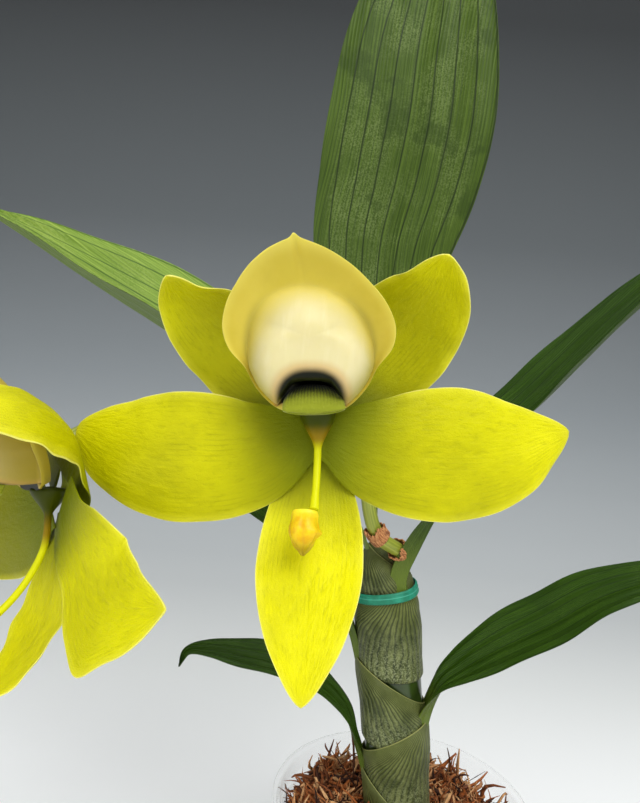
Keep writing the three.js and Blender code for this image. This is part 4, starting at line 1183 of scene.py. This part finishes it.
def sheath_surface():
    """A leaf sheath's skin: grey-green with dark veins that draw together at the stalk, dotted with
    pale wax, and a papery light edge at its mouth."""
    material, tree, shader = blank("waxed_sheath_skin", "#6E7D4E")
    place = add(tree, "TexCoord").outputs["Object"]
    uv = add(tree, "UVMap").outputs[0]
    split = add(tree, "SeparateXYZ", {0: uv})
    drift = add(tree, "TexNoise", {"Vector": place, "Scale": 110.0, "Detail": 4.0}).outputs[0]
    # Strong veins about 3 mm apart at the node, with finer ones between them
    turns = add(tree, "Math", {0: split.outputs[0], 1: 88.0}, operation="MULTIPLY").outputs[0]
    turns = add(tree, "Math", {0: drift, 1: 10.0, 2: turns}, operation="MULTIPLY_ADD").outputs[0]
    strong = add(tree, "Math", {0: turns}, operation="SINE").outputs[0]
    between = add(tree, "Math", {0: turns, 1: 2.6}, operation="MULTIPLY").outputs[0]
    between = add(tree, "Math", {0: between}, operation="SINE").outputs[0]
    # Dots of wax about 0.7 mm across
    dots = add(tree, "TexNoise", {
        "Vector": place, "Scale": 1500.0, "Detail": 3.0, "Roughness": 0.7,
    }).outputs[0]
    cloud = add(tree, "TexNoise", {
        "Vector": place, "Scale": 160.0, "Detail": 5.0, "Roughness": 0.7,
    }).outputs[0]
    colour = coat(tree, "#3A431A", "#747B48", cloud, 0.35, 0.7)
    colour = coat(tree, colour, "#6E7636", split.outputs[1], 0.45, 1.0, 0.7)
    colour = coat(tree, colour, "#343D18", between, 0.2, 1.0, 0.3)
    colour = coat(tree, colour, "#20290C", strong, 0.1, 0.9, 0.75)
    low = add(tree, "MapRange", {0: split.outputs[1], 1: 0.75, 2: 0.1, 4: 0.85}, **SOFT).outputs[0]
    wax = add(tree, "MapRange", {0: dots, 1: 0.48, 2: 0.58}, **SOFT).outputs[0]
    wax = add(tree, "Math", {0: wax, 1: low}, operation="MULTIPLY").outputs[0]
    colour = add(tree, "Mix", {0: wax, 6: colour, 7: "#868D64"}, data_type="RGBA").outputs[2]
    colour = coat(tree, colour, "#9C9C5C", split.outputs[1], 0.985, 0.995, 0.8)
    height = add(tree, "Math", {0: dots, 1: 0.7, 2: strong}, operation="MULTIPLY_ADD").outputs[0]
    # Turned inwards, so that the veins are sunk
    bump = add(tree, "Bump", {"Strength": 0.4, "Distance": 0.0004, "Height": height}, invert=True)
    plug(tree, shader, {
        "Base Color": colour, "Normal": bump.outputs[0], "Specular IOR Level": 0.3, "Roughness": 0.5,
    })
    return material


def bulb_skin():
    """The pseudobulb's bare joints: smooth, taut, dark and glossy skin."""
    material, tree, shader = blank("glossy_bulb_skin", "#2C3F18")
    place = add(tree, "TexCoord")
    cloud = add(tree, "TexNoise", {"Vector": place.outputs["Object"], "Scale": 130.0, "Detail": 4.0})
    colour = coat(tree, "#1C290A", "#324416", cloud.outputs[0], 0.3, 0.7)
    plug(tree, shader, {"Base Color": colour, "Roughness": 0.28})
    return material


def stem_skin():
    """The flower stem's skin: smooth yellow-green with faint lengthwise streaks."""
    material, tree, shader = blank("smooth_stem_skin", "#6F8A35")
    place = add(tree, "TexCoord")
    uv = add(tree, "UVMap")
    # Streaks about half a millimetre wide
    stretched = add(tree, "Mapping", {"Vector": uv.outputs[0], "Scale": (14.0, 3.0, 1.0)})
    streaks = add(tree, "TexNoise", {"Vector": stretched.outputs[0], "Scale": 2.0, "Detail": 5.0})
    cloud = add(tree, "TexNoise", {"Vector": place.outputs["Object"], "Scale": 60.0, "Detail": 4.0})
    colour = coat(tree, "#7C8826", "#A2A840", streaks.outputs[0], 0.35, 0.7)
    colour = coat(tree, colour, "#B2B44C", cloud.outputs[0], 0.5, 0.75, 0.6)
    plug(tree, shader, {"Base Color": colour, "Roughness": 0.4})
    return material


def dried_bract():
    """Dried bract: brown papery tissue, split along its fibres, with dark blotches."""
    material, tree, shader = blank("dried_bract_paper", "#A5714A")
    place = add(tree, "TexCoord")
    uv = add(tree, "UVMap")
    # Fibres about 0.4 mm wide and 2 mm long
    stretched = add(tree, "Mapping", {"Vector": uv.outputs[0], "Scale": (26.0, 1.5, 1.0)})
    streaks = add(tree, "TexNoise", {"Vector": stretched.outputs[0], "Scale": 2.0, "Detail": 6.0})
    cloud = add(tree, "TexNoise", {"Vector": place.outputs["Object"], "Scale": 400.0, "Detail": 5.0})
    colour = coat(tree, "#8A4A22", "#D69A63", streaks.outputs[0], 0.3, 0.7)
    colour = coat(tree, colour, "#5A2A12", cloud.outputs[0], 0.52, 0.7, 0.8)
    bump = add(tree, "Bump", {"Strength": 0.7, "Distance": 0.0005, "Height": streaks.outputs[0]})
    plug(tree, shader, {"Base Color": colour, "Normal": bump.outputs[0], "Roughness": 0.85})
    return material


def tie_plastic():
    """Soft vinyl garden tie: extruded, slightly dusty and matt, with a lighter line along its rib."""
    material, tree, shader = blank("extruded_vinyl_tie", "#1A8C73")
    place = add(tree, "TexCoord")
    uv = add(tree, "UVMap")
    split = add(tree, "SeparateXYZ", {0: uv.outputs[0]})
    dust = add(tree, "TexNoise", {"Vector": place.outputs["Object"], "Scale": 350.0, "Detail": 5.0})
    colour = coat(tree, "#0C7658", "#1C9474", dust.outputs[0], 0.35, 0.75)
    rib = add(tree, "Math", {0: split.outputs[0], 1: 0.1}, operation="SUBTRACT")
    rib = add(tree, "Math", {0: rib.outputs[0]}, operation="ABSOLUTE")
    colour = coat(tree, colour, "#5CC2A8", rib.outputs[0], 0.16, 0.0, 0.5)
    bump = add(tree, "Bump", {"Strength": 0.3, "Distance": 0.0002, "Height": dust.outputs[0]})
    plug(tree, shader, {"Base Color": colour, "Normal": bump.outputs[0], "Roughness": 0.55})
    return material


def dried_moss(name, darkness):
    """Dried sphagnum: rust and orange fibres, each of its own tone, with dark blotches strongest on the
    packed bed under the shreds: painted shade between the fibres.
    """
    material, tree, shader = blank(name, "#8A4A22")
    place = add(tree, "TexCoord")
    tone = add(tree, "Attribute", attribute_name="tone").outputs["Fac"]
    cloud = add(tree, "TexNoise", {
        "Vector": place.outputs["Object"], "Scale": 500.0, "Detail": 6.0, "Roughness": 0.7,
    })
    colour = coat(tree, "#2E1004", "#B8662A", tone, 0.0, 0.6)
    colour = coat(tree, colour, "#E6B27A", tone, 0.5, 1.0)
    # Dark blotches: painted shade between the fibres, strongest on the packed bed
    colour = coat(tree, colour, "#341608", cloud.outputs[0], 0.4, 0.7, darkness)
    bump = add(tree, "Bump", {"Strength": 0.8, "Distance": 0.0008, "Height": cloud.outputs[0]})
    plug(tree, shader, {"Base Color": colour, "Normal": bump.outputs[0], "Roughness": 0.9})
    return material


def clear_plastic():
    """Thin moulded polypropylene: clear but a little milky, whitest where it is seen edge on."""
    material, tree, shader = blank("moulded_clear_polypropylene", "#F2F4F2")
    place = add(tree, "TexCoord").outputs["Object"]
    haze = add(tree, "TexNoise", {"Vector": place, "Scale": 60.0, "Detail": 4.0}).outputs[0]
    edge_on = add(tree, "LayerWeight", {"Blend": 0.25}).outputs["Facing"]
    scuffed = add(tree, "MapRange", {0: haze, 1: 0.3, 2: 0.8, 3: 0.12, 4: 0.3}, **SOFT).outputs[0]
    milky = add(tree, "MapRange", {0: edge_on, 1: 0.1, 2: 1.0, 3: 0.04, 4: 0.5}, **SOFT).outputs[0]
    plug(tree, shader, {"Roughness": scuffed, "Alpha": milky, "IOR": 1.49})
    return material


# Putting it together

finished(pot_shell(), clear_plastic(), "clear_plastic", "pot")
finished(moss_bed(), dried_moss("packed_dried_moss", 0.85), "moss", "growing_medium")
finished(moss_shreds(), dried_moss("shredded_dried_moss", 0.4), "moss")
finished(pseudobulb(), bulb_skin(), "pseudobulb", "pseudobulb")

SHEATH_SKIN = sheath_surface()
GLOSSY_LEAF = leaf_surface(
    "glossy_leaf_cuticle", dark="#1F3804", light="#36540A", sheen="#3E5A16", under="#3E5020",
    vein="#122406", stalk="#70822E", roughness=0.32, blotch=0.4,
)
FRESH_LEAF = leaf_surface(
    "young_leaf_cuticle", dark="#668428", light="#93AC46", sheen="#A0B25A", under="#53633A",
    vein="#42601A", stalk="#7C8C40", roughness=0.45, blotch=0.3,
)
MATT_LEAF = leaf_surface(
    "pleated_leaf_cuticle", dark="#2E4206", light="#4A6018", sheen="#74844C", under="#4C5E26",
    vein="#182604", stalk="#5A6A2E", roughness=0.5, blotch=0.8,
)
LEAF_LOOKS = {"upper_left": FRESH_LEAF, "top": MATT_LEAF}

for leaf_name in LEAVES:
    sleeve, blade = sheath(leaf_name), leaf_blade(leaf_name)
    sleeve.data.materials.append(SHEATH_SKIN)
    blade.data.materials.append(LEAF_LOOKS.get(leaf_name, GLOSSY_LEAF))
    whole = joined(f"leaf_{leaf_name}_grown", [blade, sleeve])
    finished(whole, None, "leaf", f"leaf_{leaf_name}")

finished(plant_tie(), tie_plastic(), "tie", "plant_tie")
finished(flower_stem(), stem_skin(), "stem", "flower_stem")
PAPER = dried_bract()
finished(bract("bract_lower_paper", 0.022, 0.062, 2), PAPER, "bract", "bract_lower")
finished(bract("bract_upper_paper", 0.125, 0.178, 5), PAPER, "bract", "bract_upper")

TEPAL_FLESH, LIP_FLESH, VELVET, COLUMN_FLESH, ANTHER_WAX = (
    petal_tissue(), lip_tissue(), callus_velvet(), column_flesh(), anther_wax(),
)
for bloom_name in BLOOMS:
    node = f"bloom_{bloom_name}_"
    for tepal_name in TEPALS:
        finished(tepal(bloom_name, tepal_name), TEPAL_FLESH, "tepal", node + tepal_name)
    finished(lip(bloom_name), LIP_FLESH, "lip", node + "lip")
    finished(callus(bloom_name), VELVET, "callus", node + "callus")
    finished(column(bloom_name), COLUMN_FLESH, "column", node + "column")
    finished(anther_cap(bloom_name), ANTHER_WAX, "anther", node + "anther_cap")


# Studio: a pale floor that sweeps up into a backdrop painted darker towards its top as shade, a camera at the
# photo's view

CAMERA_AT = (-45.76, -258.96, 249.64)
CAMERA_DOWN, CAMERA_ROLL = 0.5, 4.7
FOCAL_PIXELS, IMAGE_HEIGHT, SENSOR = 640, 803, 36


def camera():
    """The camera that was fitted to the pot's rim and the plant."""
    data = bpy.data.cameras.new("view")
    data.sensor_width = SENSOR
    data.lens = SENSOR * FOCAL_PIXELS / IMAGE_HEIGHT
    data.clip_start, data.clip_end = 0.01, 20
    eye = bpy.data.objects.new("view", data)
    bpy.context.scene.collection.objects.link(eye)
    aim = Matrix.Rotation(math.radians(90 - CAMERA_DOWN), 4, "X")
    roll = Matrix.Rotation(math.radians(CAMERA_ROLL), 4, "Z")
    eye.matrix_world = Matrix.Translation([x * MM for x in CAMERA_AT]) @ aim @ roll
    bpy.context.scene.camera = eye


# Colour of the paper at metres along it from its front end. Its darkening up the wall is painted shade, for
# the light that falls off
BACKDROP_PAINTED_SHADE = [
    (0, "#FBFCFB"), (2.55, "#FBFCFB"), (2.72, "#E6E8E6"), (3.08, "#BABEBF"), (3.4, "#8C9194"),
    (3.7, "#626668"), (4.1, "#3C3E3F"), (4.8, "#2C2D2E"),
]


def backdrop():
    """A seamless sweep: floor in front, then a bend, then a tall wall, all one sheet."""
    bpy.ops.object.select_all(action="DESELECT")
    bpy.ops.mesh.primitive_grid_add(x_subdivisions=2, y_subdivisions=60, size=2)
    sheet = bpy.context.object
    sheet.name = "studio_sweep"
    back, bend, tall, wide, front = 0.55, 0.35, 2.6, 3.0, -2.4
    flat = back - front
    arc = bend * math.pi / 2
    total = flat + arc + tall
    for vertex in sheet.data.vertices:
        run = (vertex.co.y + 1) / 2 * total
        if run < flat:
            y, z = front + run, 0
        elif run < flat + arc:
            turn = (run - flat) / bend
            y, z = back + bend * math.sin(turn), bend * (1 - math.cos(turn))
        else:
            y, z = back + bend, bend + run - flat - arc
        vertex.co = (vertex.co.x * wide, y, z - 0.0002)
    bpy.ops.object.shade_smooth()
    material, tree, shader = blank("studio_paper", "#D9DBDD")
    # The paper is painted darker up the wall: painted shade for the light falling off
    run = add(tree, "SeparateXYZ", {0: add(tree, "UVMap").outputs[0]}).outputs[1]
    shades = add(tree, "ValToRGB", {0: run})
    ramp = shades.color_ramp
    for metres, code in BACKDROP_PAINTED_SHADE:
        place = metres / total
        stop = ramp.elements[0] if metres == 0 else ramp.elements.new(place)
        stop.position, stop.color = place, linear(code)
    ramp.elements.remove(ramp.elements[-1])
    plug(tree, shader, {
        "Base Color": shades.outputs[0], "Roughness": 0.9, "Specular IOR Level": 0.1,
    })
    sheet.data.materials.append(material)


def softbox(name, at, aim, size, watts):
    """A large soft lamp, aimed at a point. Its places and sizes are in metres."""
    data = bpy.data.lights.new(name, "AREA")
    data.shape = "RECTANGLE"
    data.size, data.size_y = size
    data.energy = watts
    lamp = bpy.data.objects.new(name, data)
    bpy.context.scene.collection.objects.link(lamp)
    direction = Vector(np.array(aim) - np.array(at))
    turned = direction.to_track_quat("-Z", "Y").to_matrix().to_4x4()
    lamp.matrix_world = Matrix.Translation(at) @ turned


def daylight():
    """Soft even light from all round, so that no shadow is black."""
    world = bpy.data.worlds.new("soft_room")
    bpy.context.scene.world = world
    world.use_nodes = True
    world.node_tree.nodes["Background"].inputs[0].default_value = linear("#E8ECEF")
    world.node_tree.nodes["Background"].inputs[1].default_value = 0.45


bpy.context.scene.view_settings.view_transform = "Standard"
camera()
backdrop()
daylight()
softbox("window", (0.3, -0.85, 1.1), (-0.03, -0.05, 0.24), (0.9, 0.9), 15)
softbox("fill", (-0.9, -0.9, 0.5), (-0.03, -0.05, 0.22), (0.8, 0.8), 4)
softbox("overhead", (-0.1, 0.55, 1.35), (-0.1, 0.35, 0), (2.4, 1.2), 9)

bpy.context.view_layer.update()
